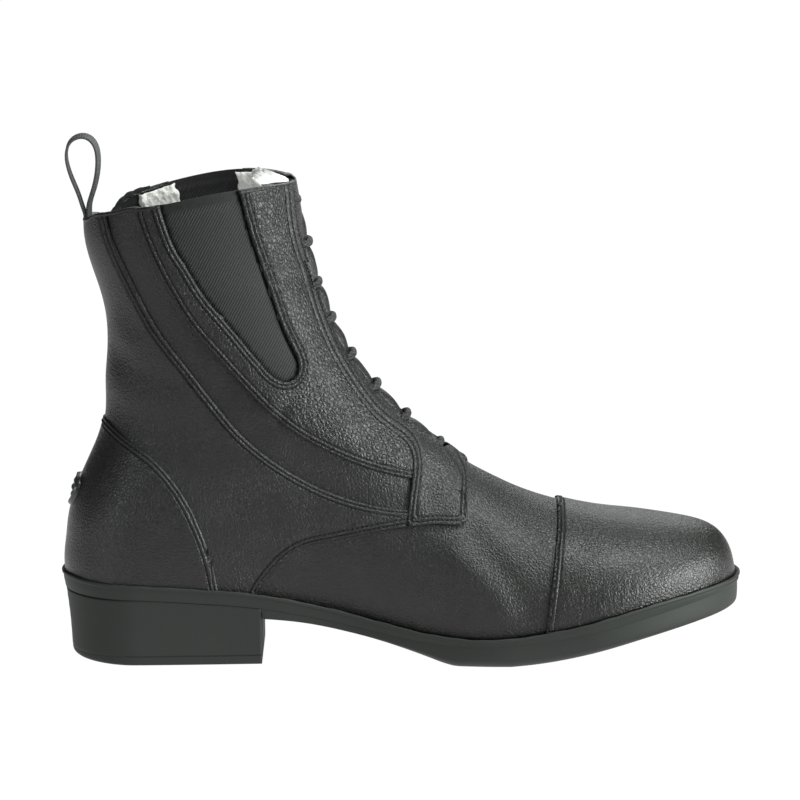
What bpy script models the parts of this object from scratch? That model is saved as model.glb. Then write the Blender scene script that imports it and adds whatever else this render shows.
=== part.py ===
"""Jodhpur boot, right foot: laced front, elastic gores, pull loop, spur rest.

The boot stands on z = 0 with its toe towards +X and its outer (lateral) side towards -Y.
The origin is the middle of the sole on the ground. Metres.
"""

import math

import bpy
import numpy as np

for old in list(bpy.data.objects):
    bpy.data.objects.remove(old, do_unlink=True)

# Driving sizes (metres)
LENGTH = 0.2975          # outsole, heel to toe
BALL_WIDTH = 0.100       # outsole at the ball
WAIST_WIDTH = 0.064      # outsole at the arch
HEEL_WIDTH = 0.068       # outsole at the heel seat
HEEL_SEAT = 0.0335       # top of the sole at the heel, above the ground
FORE_SOLE = 0.0130       # top of the sole at the ball, above the ground
TOE_SPRING = 0.0195      # how much higher the sole's top is at the toe tip
BAND = 0.0050            # height of the band round the sole's edge
FLAT_SPOT = 0.0006       # where the sole comes this near the ground, it lies flat on it
TOP_LIFT = 0.0044        # thickness of the heel's lowest layer
HEEL_BREAST = 0.0880     # heel length, from the sole's back end to the breast
SHAFT = 0.1580           # from the heel seat to the collar at the back
ANKLE_WIDTH = 0.0665     # shaft at the ankle
COLLAR_WIDTH = 0.0780    # shaft at the collar
LEDGE = 0.0036           # how far the sole's edge stands out beyond the upper's wall
WALL = 0.0022            # leather and lining of the upper
PANEL = 0.0010           # panels stitched on the upper
STAY = 0.0018            # eyestays and heel counter, two layers
INSOLE = 0.0030
TONGUE = 0.0034
TONGUE_WIDTH = 0.0420
TONGUE_RISE = 0.0300     # share of the shaft that its padded back stands above the collar
TONGUE_PAD = 0.0085      # its thickness at the top, with the fleece
PUFF = 0.0052            # how far it swells out between two bars of the lace
BAR_STAND = 0.0026       # how far a bar's middle stands out from the form
LACE = 0.0032            # round elastic cord
SLIT = 0.0092            # half the width between the facings, just above the throat
LOOP_TAPE = 0.0012
LOOP_WIDTH = 0.0100
LOOP_HEIGHT = 0.0360
LOOP_DEPTH = 0.0140
SPUR_REST = 0.0140       # height of the spur rest
SPUR_STAND = 0.0036      # how far its ledge stands out from the counter
SPUR_WIDTH = 0.0170
SPUR_RIB = 0.0006        # how far its ribs stand out
GAP = 0.0003             # between pieces that touch

AROUND = 34              # facets round the upper
LEVELS = 18              # rings from the sole to the collar

# Tables of the form
# The sole's top line: along = share of LENGTH from the back end;
# heel = share of the heel seat's height above the ball; toe = share of the toe spring.
SEAT_LINE = [  # along, heel, toe
    (0.000, 1.10, 0.000), (0.062, 1.04, 0.000), (0.176, 0.99, 0.000), (0.250, 0.93, 0.000),
    (0.298, 0.845, 0.000), (0.355, 0.673, 0.000), (0.412, 0.478, 0.000), (0.470, 0.273, 0.000),
    (0.527, 0.100, 0.000), (0.584, 0.010, 0.000), (0.641, 0.000, 0.012), (0.689, 0.000, 0.095),
    (0.736, 0.000, 0.215), (0.787, 0.000, 0.385), (0.857, 0.000, 0.650), (0.935, 0.000, 0.870),
    (1.000, 0.000, 1.000)]

# The sole's half width: shares of the heel's, the waist's and the ball's.
OUTLINE = [  # along, heel, waist, ball
    (0.00, 1.00, 0.00, 0.00), (0.18, 1.00, 0.00, 0.00), (0.30, 0.50, 0.50, 0.00),
    (0.40, 0.00, 1.00, 0.00), (0.47, 0.00, 0.80, 0.20), (0.53, 0.00, 0.52, 0.48),
    (0.59, 0.00, 0.22, 0.78), (0.64, 0.00, 0.06, 0.94), (0.70, 0.00, 0.00, 1.00),
    (1.00, 0.00, 0.00, 1.00)]
INWARD = [  # along, shift of the centre line to the inner side, share of the ball width
    (0.00, 0.000), (0.50, 0.000), (0.60, 0.008), (0.70, 0.030), (0.85, 0.055), (1.00, 0.065)]
HEEL_SIDE = 0.0377       # the heel's centre lies this share outward, so the sole is centred
HEEL_ROUND = 0.50        # share of the heel width over which the back end rounds
TOE_ROUND = 0.70         # share of the ball width over which the toe rounds

# Thickness of the sole under its top line, and how far its edge lifts, shares of FORE_SOLE.
UNDER = [  # along, thickness at the middle, extra rounding at the edge
    (0.300, 0.745, 0.02), (0.355, 0.640, 0.03), (0.412, 0.615, 0.05), (0.470, 0.650, 0.10),
    (0.527, 0.800, 0.18), (0.570, 1.010, 0.25), (0.641, 1.040, 0.29), (0.700, 1.090, 0.28),
    (0.787, 1.110, 0.24), (0.857, 1.100, 0.17), (0.935, 1.040, 0.10), (1.000, 0.970, 0.04)]

# The upper's front line (toe, vamp, instep, shaft) and back line in the side view:
# along = share of LENGTH, up = share of SHAFT above the sole's top line there.
RIDGE = [  # along, up
    (0.3350, 1.260), (0.3478, 1.146), (0.3586, 1.020), (0.3658, 0.923), (0.3820, 0.846),
    (0.3968, 0.773), (0.4157, 0.711), (0.4427, 0.650), (0.4730, 0.594), (0.5078, 0.546),
    (0.5405, 0.506), (0.5708, 0.467), (0.6022, 0.425), (0.6464, 0.3785), (0.7054, 0.324),
    (0.7644, 0.273), (0.8234, 0.2260), (0.8825, 0.1850), (0.9115, 0.1665), (0.9401, 0.1465),
    (0.9536, 0.1335), (0.9654, 0.1160), (0.9762, 0.0880), (0.9826, 0.0608), (0.9863, 0.0316),
    (0.9887, 0.0000)]
BACK = [  # up, along
    (0.000, 0.0118), (0.055, 0.0108), (0.112, 0.0147), (0.169, 0.0184), (0.224, 0.0268),
    (0.280, 0.0376), (0.337, 0.0514), (0.393, 0.0639), (0.447, 0.0717), (0.500, 0.0740),
    (0.560, 0.0747), (0.644, 0.0774), (0.700, 0.0788), (0.757, 0.0750), (0.812, 0.0673),
    (0.867, 0.0578), (0.922, 0.0495), (0.965, 0.0462), (1.000, 0.0464), (1.100, 0.0485)]
FRONT_OF_LEVEL = [  # level, along the ridge
    (0.00, 0.9887), (0.04, 0.9840), (0.09, 0.9680), (0.14, 0.9350), (0.19, 0.8850),
    (0.24, 0.8200), (0.29, 0.7450), (0.34, 0.6650), (0.39, 0.5950), (0.44, 0.5450),
    (0.50, 0.4950), (0.56, 0.4520), (0.62, 0.4200), (0.70, 0.3930), (0.80, 0.3720),
    (0.90, 0.3595), (1.00, 0.3478), (1.10, 0.3400)]
SHAFT_WIDTH = [  # up, share of the way from the ankle's half width to the collar's
    (0.00, 0.05), (0.30, 0.05), (0.45, 0.00), (0.58, 0.12), (0.72, 0.38), (0.86, 0.68),
    (1.00, 0.92), (1.20, 1.08)]
COLLAR_RISE = 0.026      # the collar's sides arch up by this share of SHAFT
INNER_DIP = 0.028        # and its inner side starts that much lower near the back

# Seams and edges in the side view: along = share of LENGTH, up = share of SHAFT.
CAP_EDGE = [(0.7310, 0.480), (0.7291, 0.320), (0.7285, 0.290), (0.7255, 0.245), (0.7215, 0.203),
            (0.7171, 0.137), (0.7127, 0.073), (0.7075, 0.000), (0.7040, -0.060)]
COUNTER_EDGE = [(-0.020, 0.470), (0.0400, 0.465), (0.0700, 0.455), (0.0994, 0.414),
                (0.1204, 0.3925), (0.1496, 0.353), (0.1669, 0.317), (0.1889, 0.259),
                (0.2051, 0.196), (0.2218, 0.1135), (0.2327, 0.015), (0.2390, -0.060)]
VAMP_EDGE = [(0.2790, -0.060), (0.2902, 0.015), (0.3079, 0.064), (0.3337, 0.129),
             (0.3630, 0.171), (0.3863, 0.188), (0.4309, 0.226), (0.4693, 0.258), (0.5088, 0.284)]
TAB_FOOT = [(0.5088, 0.284), (0.5478, 0.3005), (0.5900, 0.3065), (0.5958, 0.3128)]
TAB_FRONT = [(0.5958, 0.3128), (0.5946, 0.348), (0.5952, 0.374), (0.5961, 0.401),
             (0.5942, 0.428), (0.5887, 0.447), (0.5802, 0.4685), (0.5691, 0.488), (0.560, 0.530)]
STAY_REAR = [(0.5088, 0.284), (0.5098, 0.330), (0.5134, 0.386), (0.5165, 0.426),
             (0.5160, 0.465), (0.5140, 0.487), (0.5009, 0.5075), (0.4865, 0.523),
             (0.4692, 0.540), (0.4500, 0.568), (0.4326, 0.604), (0.4147, 0.647),
             (0.4004, 0.686), (0.3884, 0.728), (0.3764, 0.7825), (0.3652, 0.846),
             (0.3552, 0.909), (0.3473, 0.9435), (0.3427, 0.980), (0.3378, 1.017),
             (0.3357, 1.053), (0.3341, 1.088), (0.3324, 1.125), (0.3300, 1.220)]
GORE_FRONT = [(0.2730, 1.250), (0.2755, 1.122), (0.2798, 1.042), (0.2903, 0.988), (0.3007, 0.927),
              (0.3089, 0.879), (0.3194, 0.8235), (0.3295, 0.767), (0.3427, 0.717),
              (0.3532, 0.679), (0.3555, 0.651), (0.3487, 0.624), (0.3334, 0.611)]
GORE_REAR = [(0.3334, 0.611), (0.3182, 0.620), (0.3030, 0.648), (0.2857, 0.683),
             (0.2665, 0.7265), (0.2449, 0.773), (0.2230, 0.821), (0.2063, 0.872),
             (0.1939, 0.9125), (0.1810, 0.950), (0.1685, 1.012), (0.1592, 1.071), (0.1500, 1.250)]
SEAM_LOW = [(0.1130, 1.200), (0.1232, 1.045), (0.1327, 0.986), (0.1451, 0.932), (0.1623, 0.862),
            (0.1796, 0.805), (0.1963, 0.747), (0.2174, 0.702), (0.2394, 0.658),
            (0.2611, 0.610), (0.2823, 0.5715), (0.3121, 0.519), (0.3392, 0.486),
            (0.3663, 0.463), (0.3936, 0.446), (0.4216, 0.4315), (0.4498, 0.421),
            (0.4773, 0.4145), (0.5159, 0.4096)]
SEAM_BACK = [(0.0740, 1.200), (0.0813, 1.036), (0.0872, 0.977), (0.1002, 0.922), (0.1174, 0.852),
             (0.1342, 0.790), (0.1494, 0.730), (0.1687, 0.683), (0.1863, 0.6435),
             (0.2075, 0.590), (0.2294, 0.5396), (0.2513, 0.4866), (0.2825, 0.428),
             (0.3154, 0.388), (0.3641, 0.348), (0.3972, 0.331), (0.4406, 0.3235),
             (0.4696, 0.3235), (0.5099, 0.3299)]

# Half the width between the facings: along the ridge, share of SLIT.
OPENING = [(0.330, 1.42), (0.352, 1.36), (0.366, 1.28), (0.395, 1.19), (0.440, 1.10),
           (0.500, 1.03), (0.545, 0.99), (0.556, 0.93), (0.564, 0.78), (0.5695, 0.50),
           (0.5725, 0.18)]
SPLIT = 0.16             # below the throat the eyestays stay this share of SLIT apart
BARS = [0.3530, 0.3615, 0.3765, 0.3935, 0.4195, 0.4520, 0.4960, 0.5480]   # along the ridge

BAR_STEPS = [0.45, 0.72, 1.00]   # where a bar bends, shares of the half width between facings

# The pull loop's centre line: across = share of LOOP_DEPTH, up = share of LOOP_HEIGHT,
# both from the top of the collar's back. Its ends go down outside and inside the collar.
LOOP_LINE = [(-0.120, 0.125), (-0.230, 0.290), (-0.400, 0.455), (-0.520, 0.605), (-0.565, 0.740),
             (-0.515, 0.870), (-0.350, 0.960), (-0.070, 1.000), (0.200, 0.958), (0.375, 0.855),
             (0.430, 0.710), (0.400, 0.545), (0.285, 0.365), (0.120, 0.210), (0.060, 0.120)]


# Small helpers
def smooth(table, x, column=1):
    """A smooth curve through a table's rows, as a function of its first column."""
    rows = np.asarray(table, float)
    tx, ty = rows[:, 0], rows[:, column]
    slope = np.gradient(ty, tx)
    x = np.clip(np.asarray(x, float), tx[0], tx[-1])
    i = np.clip(np.searchsorted(tx, x, side="right") - 1, 0, len(tx) - 2)
    h = tx[i + 1] - tx[i]
    u = (x - tx[i]) / h
    return ((2 * u**3 - 3 * u**2 + 1) * ty[i] + (u**3 - 2 * u**2 + u) * h * slope[i]
            + (3 * u**2 - 2 * u**3) * ty[i + 1] + (u**3 - u**2) * h * slope[i + 1])


def ease(x):
    x = np.clip(x, 0.0, 1.0)
    return x * x * (3 - 2 * x)


def bow(x, power=2.0):
    """0 at x = 0 rising like the side of an ellipse to 1 at x = 1 and beyond."""
    return np.sqrt(np.clip(1 - (1 - np.clip(x, 0.0, 1.0)) ** power, 0.0, 1.0))


def material(name, colour, roughness, metallic=0.0):
    mat = bpy.data.materials.new(name)
    mat.use_nodes = True
    shader = mat.node_tree.nodes["Principled BSDF"]
    shader.inputs["Base Color"].default_value = (*colour, 1.0)
    shader.inputs["Roughness"].default_value = roughness
    shader.inputs["Metallic"].default_value = metallic
    mat.diffuse_color = (*colour, 1.0)
    return mat


def piece(name, points, faces, mat, angle=40.0):
    """An object from points and faces, shaded smooth with sharp edges above the angle."""
    mesh = bpy.data.meshes.new(name)
    mesh.from_pydata([tuple(p) for p in points], [], faces)
    mesh.validate()
    mesh.shade_smooth()
    mesh.set_sharp_from_angle(angle=math.radians(angle))
    mesh.materials.append(mat)
    obj = bpy.data.objects.new(name, mesh)
    bpy.context.scene.collection.objects.link(obj)
    return obj


def cutter(name, points, faces):
    mesh = bpy.data.meshes.new(name)
    mesh.from_pydata([tuple(p) for p in points], [], faces)
    obj = bpy.data.objects.new(name, mesh)
    bpy.context.scene.collection.objects.link(obj)
    obj.hide_render = True
    obj.display_type = "WIRE"
    return obj


def boolean(obj, tool, operation):
    mod = obj.modifiers.new(operation.title(), "BOOLEAN")
    mod.operation = operation
    mod.solver = "EXACT"
    mod.object = tool


def tube_faces(rows, columns):
    """Triangles of a closed band: row i + 1 lies above row i, columns run round once.
    Every wall and panel is split the same way, so that they stay parallel."""
    faces = []
    for i in range(rows - 1):
        for j in range(columns):
            a, b = i * columns + j, i * columns + (j + 1) % columns
            faces += [(a, b, b + columns), (a, b + columns, a + columns)]
    return faces


# Form of the boot
def seat(x):
    """Height of the sole's top line over the ground."""
    along = x / LENGTH + 0.5
    return (FORE_SOLE + (HEEL_SEAT - FORE_SOLE) * smooth(SEAT_LINE, along, 1)
            + TOE_SPRING * smooth(SEAT_LINE, along, 2))


def half_width(along, inset=0.0):
    """Half width of the outline without its round ends."""
    return (HEEL_WIDTH / 2 * smooth(OUTLINE, along, 1) + WAIST_WIDTH / 2 * smooth(OUTLINE, along, 2)
            + BALL_WIDTH / 2 * smooth(OUTLINE, along, 3) - inset)


def outline(x, inset=0.0, toe_inset=None):
    """Half width of the sole's outline at x, drawn in by the inset."""
    toe_inset = inset if toe_inset is None else toe_inset
    half = LENGTH / 2
    return (half_width(x / LENGTH + 0.5, inset)
            * bow((x + half - inset) / (HEEL_WIDTH * HEEL_ROUND - inset))
            * bow((half - toe_inset - x) / (BALL_WIDTH * TOE_ROUND - toe_inset)))


def centre(x):
    """The line that halves the foot, seen from above."""
    return BALL_WIDTH * (smooth(INWARD, x / LENGTH + 0.5) - HEEL_SIDE)


_along = np.linspace(RIDGE[0][0], RIDGE[-1][0], 3000)
_up = smooth(RIDGE, _along)


def ridge_up(along):
    return np.where(along < RIDGE[0][0], RIDGE[0][1] + (RIDGE[0][0] - along) * 15,
                    smooth(RIDGE, along))


def ridge_along(up):
    return np.interp(up, _up[::-1], _along[::-1])


def side_width(along, up):
    """The upper's half width over the point (along, up) of the side view.

    The foot part is the sole's outline under an arch that closes on the ridge; the shaft is
    an oval between the back line and the ridge; the one blends into the other at the ankle.
    """
    back = smooth(BACK, up)
    x, x_back = along * LENGTH, back * LENGTH
    top = np.maximum(ridge_up(along), 1e-6)
    share = np.clip(up / top, 0.0, 1.0)
    bulge = 1 + (0.03 + 0.10 * np.exp(-((along - 0.43) / 0.11) ** 2)) * np.sin(
        math.pi * np.clip(up / 0.42, 0.0, 1.0))
    foot = (half_width(along, LEDGE) * bulge * np.sqrt(np.clip(1 - share ** 2.25, 0.0, 1.0))
            * bow((x - x_back) / (HEEL_WIDTH / 2 - LEDGE))
            * bow((RIDGE[-1][0] * LENGTH - x) / (BALL_WIDTH * TOE_ROUND - LEDGE)))
    front = ridge_along(up)
    middle, reach = (front + back) / 2, (front - back) / 2
    ratio = np.clip(np.abs(along - middle) / reach, 0.0, 1.0)
    wide = ANKLE_WIDTH / 2 + (COLLAR_WIDTH - ANKLE_WIDTH) / 2 * smooth(SHAFT_WIDTH, up)
    shaft = wide * np.sqrt(np.clip(1 - ratio ** 2.15, 0.0, 1.0))
    mix = ease((up - 0.17) / 0.35)
    return foot * (1 - mix) + shaft * mix


def form(level, angle):
    """The upper's outside. Level 0 is the sole, 1 the collar. Angle 0 is the back line,
    a quarter turn the outer side, half a turn the ridge, three quarters the inner side."""
    level, angle = np.broadcast_arrays(np.asarray(level, float), np.asarray(angle, float))
    share = (1 - np.cos(angle)) / 2
    front = smooth(FRONT_OF_LEVEL, level)
    back_up = level
    along = (1 - share) * smooth(BACK, back_up) + share * front
    arch = np.sin(math.pi * share) ** 0.8 * np.clip(level, 0, None) ** 6
    dip = np.where(np.sin(angle) < 0, np.exp(-((share - 0.09) / 0.045) ** 2), 0.0)
    arch = COLLAR_RISE * arch - INNER_DIP * dip * np.clip(level, 0, None) ** 8
    up = (1 - share) * back_up + share * np.where(level <= 0, 0.0, ridge_up(front))
    x = (along - 0.5) * LENGTH
    y = centre(x) - np.sign(np.sin(angle)) * side_width(along, up)
    z = seat(x) + GAP + (up + arch) * SHAFT
    return np.stack([x, y, z], -1)


def skin(level, angle, offset):
    """The form moved along its normal; its two end rings stay at their own height."""
    level, angle = np.broadcast_arrays(np.asarray(level, float), np.asarray(angle, float))
    d_level, d_angle = 0.004, 0.02
    along_up = form(np.clip(level + d_level, 0, 1.1), angle) - form(
        np.clip(level - d_level, 0, 1.1), angle)
    around = form(level, angle + d_angle) - form(level, angle - d_angle)
    normal = np.cross(around, along_up)
    level_ends = ease(np.minimum(level / 0.03, np.abs(1 - level) / 0.03))
    normal[..., 2] *= level_ends
    normal /= np.linalg.norm(normal, axis=-1, keepdims=True)
    return form(level, angle) + normal * np.asarray(offset, float)[..., None]


def on_front(level, y, offset):
    """The point of the form's front at a given y, moved along the normal."""
    level, y, offset = np.broadcast_arrays(*(np.asarray(v, float) for v in (level, y, offset)))
    fine = np.linspace(math.pi * 0.5, math.pi * 1.5, 181)
    out = np.zeros(level.shape + (3,))
    for index in np.ndindex(level.shape):
        across = form(level[index], fine)[:, 1]
        angle = np.interp(y[index], across, fine)
        out[index] = skin(level[index], angle, offset[index])
    return out


def level_of(along):
    """The level whose ring ends at this place of the ridge."""
    levels = np.linspace(0, 1.1, 1200)
    return np.interp(along, smooth(FRONT_OF_LEVEL, levels)[::-1], levels[::-1])


def side_point(along, up):
    x = (np.asarray(along) - 0.5) * LENGTH
    return np.stack([x, seat(x) + GAP + np.asarray(up) * SHAFT], -1)


GRID_LEVELS = np.linspace(0.0, 1.0, LEVELS) ** 1.12   # closer at the toe
_turn = np.linspace(0.0, 2 * math.pi, AROUND, endpoint=False)
GRID_ANGLES = _turn + 0.17 * np.sin(2 * _turn)      # closer along the sides


def grid(offset):
    level, angle = np.meshgrid(GRID_LEVELS, GRID_ANGLES, indexing="ij")
    return skin(level, angle, np.full(level.shape, offset)).reshape(-1, 3)


def shell(name, low, high, mat):
    """A closed wall between the form moved by low and the form moved by high."""
    n = LEVELS * AROUND
    points = np.vstack([grid(high), grid(low)])
    outer = tube_faces(LEVELS, AROUND)
    inner = [tuple(n + i for i in reversed(face)) for face in outer]
    last = (LEVELS - 1) * AROUND
    rims = []
    for j in range(AROUND):
        k = (j + 1) % AROUND
        rims.append((k, j, n + j, n + k))
        rims.append((last + j, last + k, n + last + k, n + last + j))
    return piece(name, points, outer + inner + rims, mat)


def prism(name, side, low, high):
    """A side view outline as a solid from y = low to y = high."""
    line = side_point([p[0] for p in side], [p[1] for p in side])
    n = len(line)
    points = [(x, low, z) for x, z in line] + [(x, high, z) for x, z in line]
    area = np.sum(line[:, 0] * np.roll(line[:, 1], -1) - np.roll(line[:, 0], -1) * line[:, 1])
    order = list(range(n)) if area > 0 else list(range(n))[::-1]
    faces = [tuple(order), tuple(n + i for i in reversed(order))]
    for a, b in zip(order, order[1:] + order[:1]):
        faces.append((b, a, n + a, n + b))
    return cutter(name, points, faces)


def inset(side, distance):
    """A side view outline drawn in by a distance, corner by corner."""
    line = side_point([p[0] for p in side], [p[1] for p in side])
    area = np.sum(line[:, 0] * np.roll(line[:, 1], -1) - np.roll(line[:, 0], -1) * line[:, 1])
    turn = 1.0 if area > 0 else -1.0
    before = line - np.roll(line, 1, axis=0)
    after = np.roll(line, -1, axis=0) - line
    before /= np.linalg.norm(before, axis=1, keepdims=True)
    after /= np.linalg.norm(after, axis=1, keepdims=True)
    inward = [np.stack([-v[:, 1], v[:, 0]], 1) * turn for v in (before, after)]
    mean = inward[0] + inward[1]
    mean /= np.maximum(np.linalg.norm(mean, axis=1, keepdims=True), 1e-9)
    reach = distance / np.maximum(np.sum(mean * inward[0], axis=1), 0.5)
    moved = line + mean * reach[:, None]
    along = moved[:, 0] / LENGTH + 0.5
    return list(zip(along, (moved[:, 1] - seat(moved[:, 0]) - GAP) / SHAFT))


def slit(name, lowest, clearance):
    """The space between the facings, from the throat to above the collar."""
    alongs = np.concatenate([[0.337, 0.3478], np.linspace(0.358, lowest, 15)])
    if lowest <= OPENING[-1][0]:
        alongs = np.concatenate([alongs, [r[0] for r in OPENING[-4:]]])
    alongs = np.unique(alongs)
    ups = ridge_up(alongs)
    line = side_point(alongs, ups)
    run = np.gradient(line, axis=0)
    run /= np.linalg.norm(run, axis=1, keepdims=True)
    out = np.stack([-run[:, 1], run[:, 0]], 1)
    half = np.maximum(smooth(OPENING, alongs) * SLIT, SPLIT * SLIT) + clearance
    half = np.where(alongs > OPENING[-1][0], SPLIT * SLIT, half)
    points, faces = [], []
    for i in range(len(alongs)):
        low, high = line[i] - out[i] * 0.022, line[i] + out[i] * 0.012
        shift = float(centre(line[i, 0]))
        for side, (x, z) in ((-1, low), (1, low), (1, high), (-1, high)):
            points.append((x, shift + side * half[i], z))
    for i in range(len(alongs) - 1):
        for j in range(4):
            k = (j + 1) % 4
            faces.append((4 * i + j, 4 * i + k, 4 * i + 4 + k, 4 * i + 4 + j))
    last = 4 * (len(alongs) - 1)
    faces += [(3, 2, 1, 0), (last, last + 1, last + 2, last + 3)]
    return cutter(name, points, faces)


# Materials
LEATHER = material("black grained leather", (0.045, 0.048, 0.050), 0.42)
LEATHER_OVER = material("black leather, panels", (0.040, 0.043, 0.045), 0.40)
ELASTIC = material("black elastic weave", (0.020, 0.020, 0.021), 0.85)
LINING = material("white fleece", (0.780, 0.770, 0.740), 0.95)
RUBBER = material("black rubber", (0.030, 0.030, 0.031), 0.55)
LIFT_RUBBER = material("black rubber, top lift", (0.026, 0.026, 0.027), 0.60)
CORD = material("black cord", (0.015, 0.015, 0.016), 0.75)
TAPE = material("black woven tape", (0.022, 0.022, 0.023), 0.80)
INSOLE_MAT = material("pale insole board", (0.560, 0.520, 0.450), 0.90)


# The sole
def stations(first, last, count):
    """Places along x, close together at the ends."""
    share = (1 - np.cos(np.linspace(0.0, math.pi, count))) / 2
    return first + (last - first) * share


def sole_rows(xs, rows, name, mat):
    """A body from rows of (inset, inset at the toe, height at x), listed from the top middle
    to the bottom middle. Each row runs up the outer side and back down the inner side."""
    count = len(xs)
    points, faces = [], []
    half = LENGTH / 2
    for drawn, drawn_toe, height in rows:
        x = np.clip(xs, -half + drawn, half - drawn_toe)
        wide = outline(x, drawn, drawn_toe)
        y_mid = centre(x)
        z = height(x)
        ring = [(x[i], y_mid[i] - wide[i], z[i]) for i in range(count)]
        ring += [(x[i], y_mid[i] + wide[i], z[i]) for i in range(count - 2, 0, -1)]
        points += ring
    loop = 2 * count - 2
    for r in range(len(rows) - 1):
        for j in range(loop):
            k = (j + 1) % loop
            faces.append((r * loop + j, (r + 1) * loop + j, (r + 1) * loop + k, r * loop + k))
    bottom = (len(rows) - 1) * loop
    for start, flip in ((0, False), (bottom, True)):
        for i in range(count - 1):
            a, b = start + i, start + i + 1
            c = start + (loop - i - 1) % loop if i + 1 < count - 1 else b
            d = start + (loop - i) % loop
            quad = [a, b, c, d]
            clean = []
            for v in quad:
                if v not in clean:
                    clean.append(v)
            faces.append(tuple(clean[::-1]) if flip else tuple(clean))
    return piece(name, points, faces, mat, 30.0)


def band_low(x):
    along = x / LENGTH + 0.5
    tall = smooth([(0.0, 1.36), (0.10, 1.22), (0.25, 1.20), (0.34, 1.10), (0.45, 0.95),
                   (0.60, 0.80), (0.75, 0.82), (0.88, 0.92), (1.0, 0.98)], along)
    return seat(x) - BAND * tall


def sole_low(x):
    along = x / LENGTH + 0.5
    deep = seat(x) - FORE_SOLE * smooth(UNDER, along, 1)
    low = np.minimum(deep, band_low(x) - 0.0004)
    low = np.where(low < FLAT_SPOT, 0.0, low)
    return np.where(x < breast_x(), band_low(x), low)


def breast_x():
    return -LENGTH / 2 + HEEL_BREAST


def edge_low(x):
    lift = FORE_SOLE * smooth(UNDER, x / LENGTH + 0.5, 2)
    return np.where(x < breast_x(), band_low(x), np.minimum(sole_low(x) + lift, band_low(x) - 0.0002))


def make_outsole():
    half = LENGTH / 2
    xs = stations(-half, half, 32)
    xs = np.array([x for x in xs if abs(x - breast_x()) > 0.003])
    xs = np.sort(np.append(xs, [breast_x() - 0.0001, breast_x() + 0.0003]))
    rows = [
        (0.0060, 0.0060, lambda x: seat(x) - GAP / 2),
        (0.0006, 0.0006, lambda x: seat(x) - GAP / 2),
        (0.0, 0.0, lambda x: seat(x) - 0.0006),
        (0.0, 0.0, lambda x: seat(x) - 0.0015),
        (0.0006, 0.0006, lambda x: seat(x) - 0.0021),
        (0.0004, 0.0003, lambda x: band_low(x) + 0.0002),
        (0.0014, 0.0008, band_low),
        (0.0019, 0.0010, lambda x: edge_low(x) + (band_low(x) - edge_low(x)) * 0.18),
        (0.0050, 0.0034, lambda x: sole_low(x) + (edge_low(x) - sole_low(x)) * 0.45),
        (0.0140, 0.0140, sole_low)]
    return sole_rows(xs, rows, "outsole", RUBBER)


def make_heel():
    """The heel block and its top lift: the sole's outline cut straight at the breast."""
    half = LENGTH / 2
    xs = -half + HEEL_BREAST * (1 - np.cos(np.linspace(0.0, math.pi / 2, 15)))
    xs[-1] = breast_x() - GAP / 2

    def block(name, mat, levels):
        count = len(xs)
        loop = 2 * count - 1
        points = []
        for drawn, height in levels:
            x = np.clip(xs, -half + drawn, None)
            wide = outline(x, drawn)
            z = height(x) if callable(height) else np.full(count, height)
            middle = float(centre(breast_x()))
            ring = [(x[i], middle - wide[i], z[i]) for i in range(count)]
            ring += [(x[i], middle + wide[i], z[i]) for i in range(count - 1, 0, -1)]
            points += ring
        faces = []
        for r in range(len(levels) - 1):
            for j in range(loop):
                k = (j + 1) % loop
                faces.append((r * loop + j, (r + 1) * loop + j, (r + 1) * loop + k, r * loop + k))
        for start, flip in ((0, False), ((len(levels) - 1) * loop, True)):
            for i in range(count - 1):
                a, b = start + i, start + i + 1
                c, d = start + loop - i - 1, start + (loop - i) % loop
                quad = [a, b, c, d] if d != a else [a, b, c]
                faces.append(tuple(quad[::-1]) if flip else tuple(quad))
        return piece(name, points, faces, mat, 30.0)

    block("heel", RUBBER, [
        (0.0020, lambda x: band_low(x) - GAP),
        (0.0032, lambda x: band_low(x) * 0.5 + TOP_LIFT * 0.5),
        (0.0040, TOP_LIFT + GAP + 0.0005),
        (0.0046, TOP_LIFT + GAP)])
    block("heel_top_lift", LIFT_RUBBER, [
        (0.0046, TOP_LIFT),
        (0.0041, TOP_LIFT - 0.0006),
        (0.0044, 0.0010),
        (0.0054, 0.0)])


def make_insole():
    half = LENGTH / 2
    inner = LEDGE + WALL + 0.0016
    xs = stations(-half + inner, half - inner, 22)
    rows = [(inner, inner, lambda x: seat(x) + GAP + INSOLE),
            (inner, inner, lambda x: seat(x) + GAP)]
    return sole_rows(xs, rows, "insole", INSOLE_MAT)


# The upper
def make_upper():
    window = GORE_FRONT + GORE_REAR[1:]
    upper = shell("upper", -WALL, 0.0, LEATHER)
    boolean(upper, prism("cut_gore_windows", window, -0.12, 0.12), "DIFFERENCE")
    throat = slit("cut_throat", OPENING[-1][0], 0.0)
    boolean(upper, throat, "DIFFERENCE")
    for side, low, high in (("lateral", -0.12, -0.012), ("medial", 0.012, 0.12)):
        gore = shell("gore_" + side, -WALL, -0.0002, ELASTIC)
        boolean(gore, prism("form_gore_" + side, inset(window, GAP), low, high), "INTERSECT")


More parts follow.
